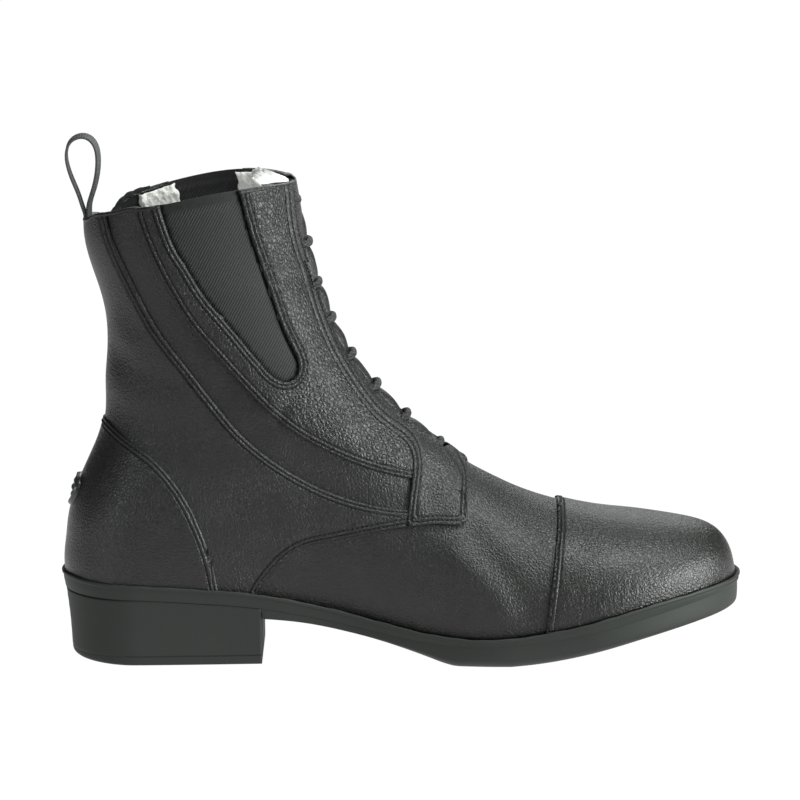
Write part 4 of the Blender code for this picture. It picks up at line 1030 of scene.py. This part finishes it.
front_angles = np.linspace(math.pi, 1.6, 600)
slit_angle = float(np.interp(0.0006 + half_slit(1.0),
                             np.abs(form(1.0, front_angles)[:, 1] - centre(0)), front_angles))
for side, mirror in SIDES:
    near, far = angle_where(0.999, gore_line, mirror)
    bead(f"collar_edge_front_{side}", (far, -mirror * slit_angle), stay_leather)
    if mirror < 0:
        outer_near = near
    else:
        bead("collar_edge_back", (near, outer_near), quarter_leather)

# %% [markdown]
# ## Tongue
#
# The tongue is a strip of soft black leather backed with fleece. The cord presses it down at
# each bar, so it puffs out between two bars. Its shape is a grid over the last's front: the
# bars give its height along the boot, and the gap between the facings its width.

# %% Tongue
TONGUE, TONGUE_WIDTH, TONGUE_RISE, TONGUE_PAD, PUFF = 0.0034, 0.0420, 0.0300, 0.0085, 0.0042
LACE = 0.0032
BARS = [0.3528, 0.3617, 0.3762, 0.3958, 0.4250, 0.4606, 0.5056, 0.5555]   # along the ridge
STANDS = [0.0004, 0.0026, 0.0024, 0.0023, 0.0026, 0.0029, 0.0025, 0.0016]   # of a bar's middle
BAR_STEPS = [0.45, 0.72, 1.00]       # where a bar bends, shares of the half width


def level_of(along):
    """The level whose ring ends at this place of the ridge."""
    return np.interp(along, FRONT_ALONG[::-1], LEVEL[::-1])


def angle_at(level, y, back=False):
    """The angle at which a ring's front, or its back, passes y: the half turn is halved
    again and again. For whole arrays."""
    level, y = np.broadcast_arrays(level, y)
    low = np.full(level.shape, math.pi * (-0.5 if back else 0.5))
    high = low + math.pi
    for _ in range(34):
        middle = (low + high) / 2
        beyond = (form(level, middle)[..., 1] > y) != back
        low, high = np.where(beyond, low, middle), np.where(beyond, middle, high)
    return (low + high) / 2


def on_front(level, y, offset):
    """The point of the last's front at a given y, moved along its normal."""
    return skin(level, angle_at(level, y), offset)


def bar_offset(share, level):
    """Height of the cord's middle over the last: over the tongue between the facings, under
    them at the sides. share = y over half the gap."""
    under = -(WALL + GAP + LACE / 2 + 0.0002)
    bars = level_of(np.array(BARS))[::-1]
    stand = np.interp(level, bars, STANDS[::-1])
    return under + (stand - under) * (1 - ease((np.abs(share) - 0.55) / 0.51))


def under_bar(share, half, level):
    """The highest that the tongue may lie under a bar and keep clear of its round."""
    reach = LACE / 2 + GAP
    steps = np.linspace(-1.0, 1.0, 25).reshape((-1,) + (1,) * np.ndim(share))
    return (bar_offset(share + steps * reach / half, level) - reach * np.sqrt(1 - steps**2)).min(0)


def tongue_height(level, y):
    """Offset of the tongue's face: as high as a bar allows, plus a puff between bars."""
    bars = np.sort(level_of(np.array(BARS)))
    after = np.clip(np.searchsorted(bars, level), 1, len(bars) - 1)
    share = (level - bars[after - 1]) / (bars[after] - bars[after - 1])
    gap_long = (bars[after] - bars[after - 1]) * SHAFT
    rise = np.sin(math.pi * np.clip(share, 0, 1)) ** 0.7 * np.clip(gap_long / 0.020, 0.5, 1.0)
    above = ease((level - bars[-1]) / 0.02)
    rise = np.where(level > bars[-1], 0.55 * above, np.where(level < bars[0], 0.0, rise))
    half = half_slit(np.maximum(level, level_of(OPENING[-4][0])))
    clear = np.abs(y) / half
    hidden = ease((level_of(THROAT) + 0.012 - level) / 0.012)
    top = under_bar(clear, half, level)
    floor = float(bar_offset(2.0, 0.8)) - LACE / 2 - GAP - 0.0002
    top = top + (floor - top) * hidden
    return top + PUFF * rise * (1 - ease((clear - 0.10) / 0.62)) * (1 - hidden), floor


def fine_tongue():
    """The tongue's face and the back of its fleece, as grids over the last's front."""
    bars = np.sort(level_of(np.array(BARS)))
    levels = np.linspace(bars[0] - 0.12, 0.998, 136)
    side = TONGUE_WIDTH / 2 * (0.72 + 0.28 * ease((levels - 0.42) / 0.35))
    share = np.linspace(-1.0, 1.0, 41)
    level = levels[:, None] + 0 * share
    y = side[:, None] * share
    top, floor = tongue_height(level, y)
    place = on_front(level, y + centre(0.0), 0.0)
    top = top + 0.00025 * waves(place, 0.012, 41) * (np.abs(share) < 0.9)
    edge = bow((1 - np.abs(share)) / 0.06)
    rounded = bow((levels[-1] - levels) / 0.010)[:, None]
    face = on_front(level, y + centre(0.0), top - 0.0012 * (1 - edge) - 0.0016 * (1 - rounded))
    pad = ease((level - 0.86) / 0.14)
    thick = TONGUE + (TONGUE_PAD - TONGUE) * pad
    skin_low = floor - thick * (0.45 + 0.55 * edge) + 0.35 * (top - floor)
    behind = on_front(level, y + centre(0.0), skin_low)
    lumps = 0.0010 * (curls(behind) - 0.5) * edge
    behind = on_front(level, y + centre(0.0), skin_low + lumps)
    crown = bow((1 - np.abs(share)) / 0.6) * (0.7 + 0.4 * curls(behind))
    behind[..., 2] += TONGUE_RISE * SHAFT * pad * crown
    return level.shape, face, behind


(tongue_rows, tongue_cols), tongue_face, tongue_back = fine_tongue()


def sheet_faces(rows, cols):
    """Quads over a grid."""
    a = (np.arange(rows - 1)[:, None] * cols + np.arange(cols - 1)).ravel()
    return np.stack([a, a + 1, a + 1 + cols, a + cols], 1)


quads = sheet_faces(tongue_rows, tongue_cols)
tongue_leather = make_mesh("tongue_leather", tongue_face.reshape(-1, 3), quads, vamp_leather)
thicken(tongue_leather, 0.0010)
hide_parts("tongue")
count = tongue_rows * tongue_cols
middle_sheet = tongue_face * 0.75 + tongue_back * 0.25
edge_loop = np.concatenate([np.arange(tongue_cols),
                            np.arange(1, tongue_rows) * tongue_cols + tongue_cols - 1,
                            (tongue_rows - 1) * tongue_cols + np.arange(tongue_cols - 2, -1, -1),
                            np.arange(tongue_rows - 2, 0, -1) * tongue_cols])
follow = np.roll(edge_loop, -1)
rim = np.stack([follow, edge_loop, edge_loop + count, follow + count], 1)
tongue_pad = make_mesh("tongue_fleece_pad",
                       np.vstack([middle_sheet.reshape(-1, 3), tongue_back.reshape(-1, 3)]),
                       np.concatenate([quads, (quads + count)[:, ::-1], rim]), glowing_fleece_finish)
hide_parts("tongue")

# %% [markdown]
# ## Lace
#
# One round elastic cord runs in eight bars over the tongue and turns back under the facings,
# so only short loops show. The braid is made in the shader: two sets of spirals that cross,
# from a map of the cord's length and turn kept as attributes.


# %% Cord finish and lace
def braid():
    f = Finish("black braided cord")
    run, turn = f.attribute("run"), f.attribute("turn")
    pitch = TURN / 0.0026
    one = (run * pitch + turn * 4.0).math("SINE")
    two = (run * pitch - turn * 4.0).math("SINE")
    height = one.math("MAXIMUM", two)
    return f.set(base_color=(height * 0.5 + 0.5).clip().tint((0.006, 0.006, 0.006),
                                                           (0.030, 0.031, 0.031)),
                 roughness=0.62, specular_ior_level=0.35, normal=f.bump(height, 0.00022, 0.9))


def catmull(points, steps):
    """A smooth line through points, with steps samples between two of them."""
    p = np.vstack([2 * points[0] - points[1], points, 2 * points[-1] - points[-2]])
    t = np.linspace(0, 1, steps, endpoint=False)[:, None, None]
    a, b, c, d = (p[None, k:len(p) - 3 + k] for k in range(4))
    out = 0.5 * (2 * b + (c - a) * t + (2 * a - 5 * b + 4 * c - d) * t**2
                 + (3 * b - 3 * c + d - a) * t**3)
    return np.vstack([out.transpose(1, 0, 2).reshape(-1, points.shape[1]), points[-1]])


def tube(name, path, radius, sides, finish):
    """A round tube along a path, with rounded ends: a circle carried along it, turned as
    little as possible, and its radius falling to nothing at both ends."""
    run = unit(np.gradient(path, axis=0))
    across = unit(np.cross(run, (0.0, 0.0, 1.0)))
    second = np.cross(run, across)
    length, turn = run_length(path), around(sides)
    size = radius * bow(np.minimum(length, length[-1] - length) / radius + 0.02)
    ring = (across[:, None] * np.cos(turn)[None, :, None]
            + second[:, None] * np.sin(turn)[None, :, None])
    points = path[:, None] + ring * np.reshape(size, (-1, 1, 1))
    obj = make_mesh(name, points.reshape(-1, 3), closed_tube(len(path), sides), finish,
                    attributes={"run": np.repeat(length, sides),
                                "turn": np.tile(turn, len(path))})
    return obj


def lace_route():
    """Level, y and height of the cord: across on each bar, then along under a facing."""
    bars = level_of(np.array(BARS))
    spots = []
    for k, level in enumerate(bars):
        half = float(half_slit(level))
        sweep = np.array([-v for v in BAR_STEPS[::-1]] + [-0.2, 0.2] + BAR_STEPS)
        sweep = -sweep if k % 2 else sweep
        if k == 0:
            sweep = np.append(-1.25, sweep)
        if k == len(bars) - 1:
            sweep = np.append(sweep, math.copysign(1.25, sweep[-1]))
        spots += [(level, share * half, float(bar_offset(share, level))) for share in sweep]
        if k + 1 < len(bars):
            following = bars[k + 1]
            wide = (half + float(half_slit(following))) / 2 * 1.30
            side = math.copysign(wide, sweep[-1])
            for mix in (0.38, 0.62):
                between = level * (1 - mix) + following * mix
                spots.append((between, side, float(bar_offset(2.0, 0.8))))
    return np.array(spots)


cord_finish = braid()
route = catmull(lace_route(), 7)
lace = tube("lace_cord", on_front(route[:, 0], route[:, 1] + centre(0.0), route[:, 2]),
            LACE / 2, 14, cord_finish)
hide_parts("lace")

# %% [markdown]
# ## Pull loop
#
# A strip of woven tape is sewn inside and outside the collar's back. It stands up in a loop
# like a drop, a little twisted. The tape's ribs run along it, with a plain edge on each side.


# %% Tape finish and pull loop
def tape():
    f = Finish("black woven tape")
    across, run = f.attribute("across"), f.attribute("run")
    ribs = (across * (math.pi * 11)).math("SINE")
    picks = (run * (TURN / 0.0011)).math("SINE")
    edge = (across.math("ABSOLUTE") - 0.86).math("MAXIMUM", 0.0) * 6.0
    height = ribs * 0.6 + picks * 0.25 + edge
    return f.set(base_color=(ribs * 0.35 + picks * 0.1 + 0.5).clip().tint(
        (0.016, 0.016, 0.016), (0.120, 0.124, 0.120)), roughness=0.75,
        specular_ior_level=0.3, normal=f.bump(height, 0.00018, 0.9))


LOOP_TAPE, LOOP_WIDTH, LOOP_HEIGHT, LOOP_DEPTH = 0.0012, 0.0100, 0.0360, 0.0140
LOOP_TWIST = 0.13                    # how far the loop's top is turned, in radians
LOOP_LINE = [(-0.150, 0.125), (-0.270, 0.290), (-0.450, 0.455), (-0.575, 0.605), (-0.630, 0.740),
             (-0.580, 0.865), (-0.400, 0.950), (-0.110, 0.985), (0.160, 0.945), (0.325, 0.845),
             (0.375, 0.710), (0.350, 0.545), (0.250, 0.365), (0.110, 0.210), (0.060, 0.120)]


def make_loop():
    """The tape: a flat oval section carried along the loop's line. Its width lies across the
    boot, turned a little more on the front strand."""
    rim_x, rim_y, rim_z = form(1.0, 0.0)
    middle = rim_x + (WALL - GAP - PANEL) / 2
    line = [(rim_x - 0.0004, rim_z - 0.0060), (rim_x - 0.0003, rim_z + 0.0006)]
    line += [(middle + a * LOOP_DEPTH, rim_z + b * LOOP_HEIGHT) for a, b in LOOP_LINE]
    line += [(rim_x + 0.0013, rim_z + 0.0006), (rim_x + 0.0012, rim_z - 0.0060)]
    path = catmull(np.array(line), 12)
    path = np.stack([soften(path[:, k], 5.0) for k in (0, 1)], 1)
    run = np.gradient(path, axis=0)
    step = np.linalg.norm(run, axis=1)
    run /= step[:, None]
    length = np.cumsum(step)
    share = length / length[-1]
    normal = np.stack([-run[:, 1], 0 * share, run[:, 0]], 1)
    turn = LOOP_TWIST * ease(share * 1.6 - 0.3)
    wide = np.cos(turn)[:, None] * np.array([0, 1.0, 0]) + np.sin(turn)[:, None] * normal
    flat = np.cross(wide, np.stack([run[:, 0], 0 * share, run[:, 1]], 1))
    round_ = around(40)
    across = np.sign(np.cos(round_)) * np.abs(np.cos(round_)) ** 0.35
    thick = np.sign(np.sin(round_)) * np.abs(np.sin(round_)) ** 0.6
    cup = 0.00025 * (1 - across**2)
    spine = np.stack([path[:, 0], np.full(len(path), rim_y), path[:, 1]], 1)
    points = (spine[:, None] + wide[:, None] * (across * LOOP_WIDTH / 2)[None, :, None]
              + flat[:, None] * (thick * LOOP_TAPE / 2 + cup)[None, :, None])
    obj = make_mesh("pull_loop_tape", points.reshape(-1, 3), closed_tube(len(path), 40), tape(),
                    attributes={"across": np.tile(across, len(path)),
                                "run": np.repeat(length, 40)})
    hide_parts("pull_loop")


make_loop()

# %% [markdown]
# ## Rubber
#
# The sole and the heel are one black rubber compound, matt with a faint greenish grey bloom.
# The mould leaves it smooth. Handling leaves soft cloudy marks, which are noise in colour
# and roughness.


# %% Rubber finish
def rubber(name, rough, specular=0.28):
    f = Finish(name)
    clouds, grain = f.noise(0.022, 3.0), f.noise(0.0006, 2.0)
    shade = (clouds * 0.75 + grain * 0.25).clip()
    return f.set(base_color=shade.tint((0.0150, 0.0172, 0.0152), (0.0240, 0.0272, 0.0243)),
                 roughness=clouds * 0.16 + (rough - 0.08), specular_ior_level=specular,
                 normal=f.bump(grain, 0.00006, 0.6))


sole_rubber, heel_rubber = rubber("rubber, sole", 0.55), rubber("rubber, heel", 0.62)
lift_rubber = rubber("rubber, top lift", 0.65)
button_plastic = rubber("moulded button", 0.30, 0.8)

# %% [markdown]
# ## Spur rest
#
# A small moulded button at the back of the counter, on which a spur's strap rests. It is an
# oval plate with a raised rim, ribs across its face and a ledge at the top. The plate is a
# disc of rings, bent onto the counter.

# %% Spur rest
SPUR_REST, SPUR_STAND, SPUR_WIDTH, SPUR_LOW = 0.0142, 0.0030, 0.0190, 0.190


def make_spur_rest():
    """The plate: its height is the sum of a ledge, the rim, the ribs and a hollow."""
    rings, spokes = 52, 84
    r = np.linspace(0.0, 1.0, rings)[:, None]
    turn = around(spokes)[None, :]
    across = r * np.sign(np.cos(turn)) * np.abs(np.cos(turn)) ** 0.85
    up = r * np.sign(np.sin(turn)) * np.abs(np.sin(turn)) ** 0.85
    ledge = ease((up + 0.9) / 1.2) * ease((1.02 - up) / 0.35)
    face = 0.0009 + (SPUR_STAND - 0.0016) * ledge * (1 - 0.5 * r * r)
    rim = 0.0008 * np.exp(-((r - 0.86) / 0.075) ** 2)
    ribs = 0.0008 * (0.5 + 0.5 * np.sin(up * 15.0 + 0.6)) ** 0.8 * (1 - ease((r - 0.62) / 0.12))
    hollow = -0.0006 * (1 - ease((r - 0.66) / 0.12))
    height = (face + rim + ribs + hollow) * bow((1 - r) / 0.10)
    base_y = float(form(SPUR_LOW, 0.0)[1])
    level = SPUR_LOW + SPUR_REST / SHAFT * (0.5 + 0.5 * up)
    y = base_y + SPUR_WIDTH / 2 * across
    points = skin(level, angle_at(level, y, back=True), GAP + STAY + height - 0.0003)
    obj = make_mesh("spur_rest_button", points.reshape(-1, 3),
                    closed_tube(rings, spokes, False)[:, ::-1], button_plastic)
    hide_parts("spur_rest")


make_spur_rest()

# %% [markdown]
# ## Sole and heel
#
# The sole is a unit with a band round its edge: a thin lip at the top, a shallow groove under
# it, and a fine line where the band ends over the heel block. Each is a row of the section,
# and the section is carried round the sole's outline.

# %% Sole
UNDER = [  # along, thickness at the middle, extra rounding at the edge
    (0.300, 0.745, 0.02), (0.355, 0.640, 0.03), (0.412, 0.615, 0.05), (0.470, 0.650, 0.10),
    (0.527, 0.800, 0.18), (0.570, 1.010, 0.25), (0.641, 1.040, 0.29), (0.700, 1.090, 0.28),
    (0.787, 1.110, 0.24), (0.857, 1.100, 0.17), (0.935, 1.040, 0.10), (1.000, 0.970, 0.04)]
BAND_TALL = [(0.0, 1.36), (0.10, 1.22), (0.25, 1.20), (0.34, 1.10), (0.45, 0.95),
             (0.60, 0.80), (0.75, 0.82), (0.88, 0.92), (1.0, 0.98)]
TOP_RAISE = [(0.0, 0.0029), (0.12, 0.0028), (0.18, 0.0021), (0.42, 0.0017), (0.53, 0.0014),
             (0.74, 0.0012), (0.86, 0.0017), (0.94, 0.0014), (1.0, 0.0007)]
LOW_RAISE = [(0.0, 0.0020), (0.11, 0.0021), (0.20, 0.0013), (0.35, 0.0008), (0.50, 0.0010),
             (0.64, 0.0016), (0.76, 0.0006), (0.86, 0.0006), (0.93, 0.0016), (1.0, 0.0020)]
FLAT_SPOT = 0.0001                   # what lies lower than this stands on the ground
BREAST = -LENGTH / 2 + HEEL_BREAST
under_deep, under_round = curve(UNDER, 0.008, 1), curve(UNDER, 0.008, 2)
band_tall, top_raise, low_raise = (curve(t, 0.02) for t in (BAND_TALL, TOP_RAISE, LOW_RAISE))


def band_low(x):
    """Height of the band's lower line."""
    along = x / LENGTH + 0.5
    return seat(x) - BAND * band_tall(along) + low_raise(along)


def sole_low(x):
    """Height of the underside along its middle."""
    low = np.minimum(seat(x) - FORE_SOLE * under_deep(x / LENGTH + 0.5), band_low(x) - 0.0004)
    low = np.where(low < FLAT_SPOT, 0.0, low)
    return np.where(x < BREAST, band_low(x), low)


def edge_low(x):
    """Height of the underside at its edge, which is rounded up."""
    edge = np.minimum(sole_low(x) + FORE_SOLE * under_round(x / LENGTH + 0.5),
                      band_low(x) - 0.0002)
    return np.where(x < BREAST, band_low(x), edge)


def sole_section(x):
    """Rows of (inset, inset at the toe, height) at each station, from the top's inside to the
    underside: the tread line on top, the lip, the groove, the band, and the sole under it."""
    band, edge, low = band_low(x), edge_low(x), sole_low(x)
    top = seat(x) + top_raise(x / LENGTH + 0.5)
    lip = 0.00018 * np.sin(x / 0.0061) * np.sin(x / 0.0023 + 1.0)
    return [(0.0060, 0.0060, seat(x) - GAP / 2), (0.0026, 0.0026, seat(x) - GAP / 2),
            (0.0016, 0.0016, top - 0.0006), (0.0010, 0.0010, top - GAP / 2 + lip),
            (0.0004, 0.0004, top - 0.0001 + lip), (0.0, 0.0, top - 0.0005 + lip),
            (0.0, 0.0, top - 0.0014), (0.0005, 0.0005, top - 0.0018),
            (0.0006, 0.0006, top - 0.0022), (0.0008, 0.0004, band * 0.5 + top * 0.5 - 0.0004),
            (0.0014, 0.0005, band + 0.0004), (0.0016, 0.0006, band + 0.0001),
            (0.0018, 0.0010, band), (0.0018, 0.0011, band - (band - edge) * 0.10),
            (0.0019, 0.0012, band - (band - edge) * 0.75), (0.0026, 0.0018, edge),
            (0.0050, 0.0034, low + (edge - low) * 0.45), (0.0090, 0.0080, low + (edge - low) * 0.1),
            (0.0140, 0.0140, low)]


def carry_round(name, section, xs, finish, replaced, y_mid=None):
    """A section's rows carried round the outline and smoothed from row to row. The heel's
    parts have y_mid, the y of their middle, and end at the breast instead of the toe."""
    half = LENGTH / 2
    table = np.stack([np.stack([np.broadcast_to(v, xs.shape) for v in row], -1)
                      for row in section(xs)])
    table = catmull(table.reshape(len(table), -1), 3).reshape(-1, len(xs), 3)
    points = []
    last = half if y_mid is None else 1.0
    for row in table:
        x = np.clip(xs, -half + row[:, 0], last - row[:, 1])
        wide = outline(x, row[:, 0], row[:, 1])
        middle = centre(x) if y_mid is None else y_mid
        near = np.stack([x, middle - wide, row[:, 2]], 1)
        away = np.stack([x, middle + wide, row[:, 2]], 1)
        points.append(np.vstack([near, away[::-1]]))
    count = 2 * len(xs)
    faces = closed_tube(len(points), count, False)
    i = np.arange(len(xs) - 1)
    top = np.stack([i, i + 1, count - 2 - i, count - 1 - i], 1)
    bottom = top[:, ::-1] + (len(points) - 1) * count
    obj = make_mesh(name, np.vstack(points), np.concatenate([faces, top, bottom])[:, ::-1], finish)
    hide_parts(replaced)
    print(f"{name}: {len(faces)} quads")


round_end = (1 - np.cos(np.linspace(0.0, math.pi, 220))) / 2
xs = -LENGTH / 2 + LENGTH * round_end
xs = np.sort(np.append(xs[np.abs(xs - BREAST) > 0.0008], [BREAST - 0.0001, BREAST + 0.0003]))
carry_round("outsole_rubber", sole_section, xs, sole_rubber, "outsole")


# %% Heel
def heel_section(x):
    """The block tapers to the ground and is cut straight at the breast."""
    band = band_low(x)
    low = TOP_LIFT + GAP
    return [(0.0024, 0.0, band + 0.0001), (0.0019, 0.0, band - 0.0002),
            (0.0019, 0.0, band - 0.0012), (0.0032, 0.0, band * 0.5 + TOP_LIFT * 0.5),
            (0.0040, 0.0, low + 0.0004), (0.0041, 0.0, low), (0.0044, 0.0, low - 0.0002)]


def lift_section(x):
    """The top lift: its back lower edge is rounded off."""
    worn = 0.0022 * ease((-0.118 - x) / 0.030)
    return [(0.0048, 0.0, TOP_LIFT), (0.0042, 0.0, TOP_LIFT - 0.0002),
            (0.0041, 0.0, TOP_LIFT - 0.0006), (0.0043, 0.0, 0.0014 + worn * 0.6),
            (0.0050, 0.0, 0.0005 + worn * 0.5), (0.0070, 0.0, worn * 0.2), (0.0120, 0.0, 0.0)]


heel_xs = -LENGTH / 2 + HEEL_BREAST * (1 - np.cos(np.linspace(0.0, math.pi / 2, 140)))
heel_xs[-1] = BREAST - GAP / 2
heel_middle = float(centre(BREAST))
carry_round("heel_block_rubber", heel_section, heel_xs, heel_rubber, "heel", heel_middle)
carry_round("heel_top_lift_rubber", lift_section, heel_xs, lift_rubber, "heel_top_lift",
            heel_middle)
# The insole takes the fleece finish, with its painted glow.
insole = bpy.data.objects["insole"]
for slot in insole.material_slots:
    slot.material = glowing_fleece_finish

# %% [markdown]
# ## Stitching
#
# Two needles sew every seam: two rows of lock stitch, about 2 mm to the stitch, pulled down
# into the leather. A stitch is a short tube that rises from one hole and dives into the next.
# All stitches are one mesh, made as arrays: rows of the pattern are found on the last, and the
# tube's rings are carried along them.

# %% Rows and stitches
STITCH, THREAD, DIVE = 0.0021, 0.00026, 0.30
STITCH_RINGS, STITCH_SIDES = 5, 6
SEWN_FROM, SEWN_TO = 0.012, 0.990    # levels between which stitches show
PUFFED = 0.00070                     # round of the leather that swells between two rows


def on_last(side, mirror):
    """Level and angle of points of the side view, on one side of the boot: the nearest corner
    of a coarse net, then Newton's steps on the two equations."""
    level, angle = (v.ravel() for v in np.meshgrid(np.linspace(0.003, 0.999, 90),
                                                   np.linspace(0.03, math.pi - 0.03, 90)))
    sign = 1.0 if mirror < 0 else -1.0
    coarse = form(level, sign * angle)[:, [0, 2]]
    near = np.array([((coarse - p) ** 2).sum(1).argmin() for p in side])
    level, angle = level[near], angle[near]
    step = 1e-4

    def flat(level, angle):
        return form(level, sign * angle)[:, [0, 2]]

    for _ in range(10):
        miss = flat(level, angle) - side
        by_level = (flat(level + step, angle) - flat(level - step, angle)) / (2 * step)
        by_angle = (flat(level, angle + step) - flat(level, angle - step)) / (2 * step)
        det = by_level[:, 0] * by_angle[:, 1] - by_level[:, 1] * by_angle[:, 0]
        det = np.where(np.abs(det) < 1e-9, 1e-9, det)
        dl = (miss[:, 0] * by_angle[:, 1] - miss[:, 1] * by_angle[:, 0]) / det
        da = (by_level[:, 0] * miss[:, 1] - by_level[:, 1] * miss[:, 0]) / det
        level = np.clip(level - np.clip(dl, -0.03, 0.03), 0.0, 1.05)
        angle = np.clip(angle - np.clip(da, -0.05, 0.05), 0.005, math.pi - 0.005)
    good = np.linalg.norm(flat(level, angle) - side, axis=1) < 0.0003
    return level, sign * angle, good


threads, pillows = [], []


def sew(level, angle, offset, into=threads, thick=THREAD, dive=DIVE, power=0.6):
    """Stitches along a row given by level and angle, on a face at an offset from the last.
    dive is how much of the tube's round lies below the face; power shapes its rise."""
    row = skin(level, angle, offset)
    out = unit(skin(level, angle, offset + 0.001) - row)
    length = run_length(row)
    count = int(length[-1] / STITCH)
    if count < 1:
        return
    start = np.arange(count)[:, None] * STITCH
    t = np.linspace(0.0, 1.0, STITCH_RINGS)[None, :]
    at = start + STITCH * (0.07 + 0.86 * t)
    spine = np.stack([np.interp(at, length, row[:, k]) for k in range(3)], -1)
    normal = np.stack([np.interp(at, length, out[:, k]) for k in range(3)], -1)
    across = unit(np.cross(unit(np.gradient(spine, axis=1)), normal))
    arc = (np.sin(math.pi * t) ** power - dive) * thick * 1.2
    spine = spine + normal * arc[..., None]
    turn = around(STITCH_SIDES)
    size = thick * (0.55 + 0.45 * np.sin(math.pi * t) ** 0.5)[..., None, None]
    ring = (normal[:, :, None] * np.cos(turn)[:, None] + across[:, :, None] * np.sin(turn)[:, None])
    into.append(spine[:, :, None] + ring * size)


def sew_seam(line, away, face, keep=(0.0, 1.0), **how):
    """Rows beside a seam line on both sides of the boot. keep is the share of the line that
    shows, away the row's distance, on the left of the line or, below 0, on its right."""
    first, last = int(keep[0] * len(line)), int(keep[1] * len(line))
    moved = beside(line, away)[first:last]
    length = run_length(moved)
    even = np.linspace(0, length[-1], max(4, int(length[-1] / 0.0007)))
    moved = np.stack([np.interp(even, length, moved[:, k]) for k in (0, 1)], 1)
    for mirror in (-1, 1):
        level, angle, good = on_last(moved, mirror)
        good &= (level > SEWN_FROM) & (level < SEWN_TO)
        if good.sum() > 4:
            sew(level[good], angle[good], face, **how)


low_face, high_face = OVER - GROOVE, GAP + STAY - GROOVE
puff = {"into": pillows, "thick": PUFFED, "dive": 1.5, "power": 1.2}
SEWN = [  # line, side and sign of the row's distance, face, shares of the line that show
    (rear_line, -1, low_face, (0.0, 0.90)), (vamp_line, 1, low_face, (0.0, 1.0)),
    (low_line, 1, low_face, (0.0, 0.955)), (stay_line, -1, high_face, (0.0, 1.0)),
    (gore_line, 1, low_face, (0.0, 1.0)), (tab_foot_line, 1, high_face, (0.02, 0.96))]
for row, how, up in ((ROWS[0], {}, 0.0), (ROWS[1], {}, 0.0), (sum(ROWS) / 2, puff, 0.0006)):
    for net, face in ((cap_net, low_face), (counter_net, high_face)):
        if how:
            net.split("seam", row)
        level, angle = net.line("seam", row, "angle")
        shown = (level > SEWN_FROM) & (level < SEWN_TO)
        sew(level[shown], angle[shown], face + up, **how)
    for line, sign, face, shown in SEWN:
        sew_seam(line, sign * row, face + up, shown, **how)
sew_seam(tab_front_line, ROWS[0], high_face, (0.04, 0.98))
for row in hooks:
    sew_seam(row, 0.0, high_face + 0.0002)
tack = seam([(0.5955, 0.362), (0.5915, 0.3525), (0.5895, 0.344)], 0.0003)
for away in (-0.0004, 0.0, 0.0004):
    sew_seam(tack, away, high_face + 0.0003)


# %% One mesh of thread
def thread_finish():
    f = Finish("black thread")
    twist = f.noise(0.00035, 2.0)
    return f.set(base_color=twist.tint((0.003, 0.003, 0.003), (0.012, 0.012, 0.012)),
                 roughness=0.6, specular_ior_level=0.25, normal=f.bump(twist, 0.00010, 0.6))


def join(name, pieces, finish):
    """All stitches as one mesh: one tube's faces, counted on for every stitch."""
    every = np.concatenate([t.reshape(len(t), -1, 3) for t in pieces])
    one = closed_tube(STITCH_RINGS, STITCH_SIDES)
    faces = (one[None] + np.arange(len(every))[:, None, None] * every.shape[1]).reshape(-1, 4)
    make_mesh(name, every.reshape(-1, 3), faces, finish)
    print(name, len(every), "stitches,", 2 * len(faces), "triangles")


join("stitching", threads, thread_finish())
join("puffed_seam_leather", pillows, stay_leather)

# %% [markdown]
# ## Loose ends
#
# At the inner side's back corner the collar's tape is gathered and puckered, and one thread
# end stands out. They are small, but they break the clean line of the collar as on any boot
# that somebody sewed.

# %% Gathered end and loose thread
def gathered_end():
    """A short soft roll on the inner back of the collar: a bead whose size swells and shrinks
    four times along its length."""
    angle = np.linspace(-0.62, -1.12, 90)
    turn = around(18)
    share = np.linspace(0, 1, 90)[:, None]
    fold = 0.75 + 0.30 * np.abs(np.sin(share * math.pi * 4.5 + 0.6)) - 0.2 * share
    size = bow(share / 0.08) * bow((1 - share) / 0.25) * fold
    offset = -0.0012 + 0.0017 * size * np.cos(turn)[None, :]
    points = skin(1.0, angle[:, None], offset)
    points[..., 2] += 0.0016 * size * np.sin(turn)[None, :] + 0.0004 * share
    points += 0.0003 * waves(points, 0.003, 77)[..., None]
    obj = make_mesh("collar_gathered_end", points.reshape(-1, 3), closed_tube(90, 18), black_cloth)


gathered_end()
corner = form(1.0, -0.60) + np.array([0.0, 0.0, 0.0008])
wave_line = np.array([(0.0, 0.0, 0.0), (-0.0022, 0.0004, 0.0006), (-0.0042, 0.0, 0.0002),
                      (-0.0058, -0.0006, 0.0010)])
tube("loose_thread", catmull(corner + wave_line, 8), 0.00016, 6, thread_finish())
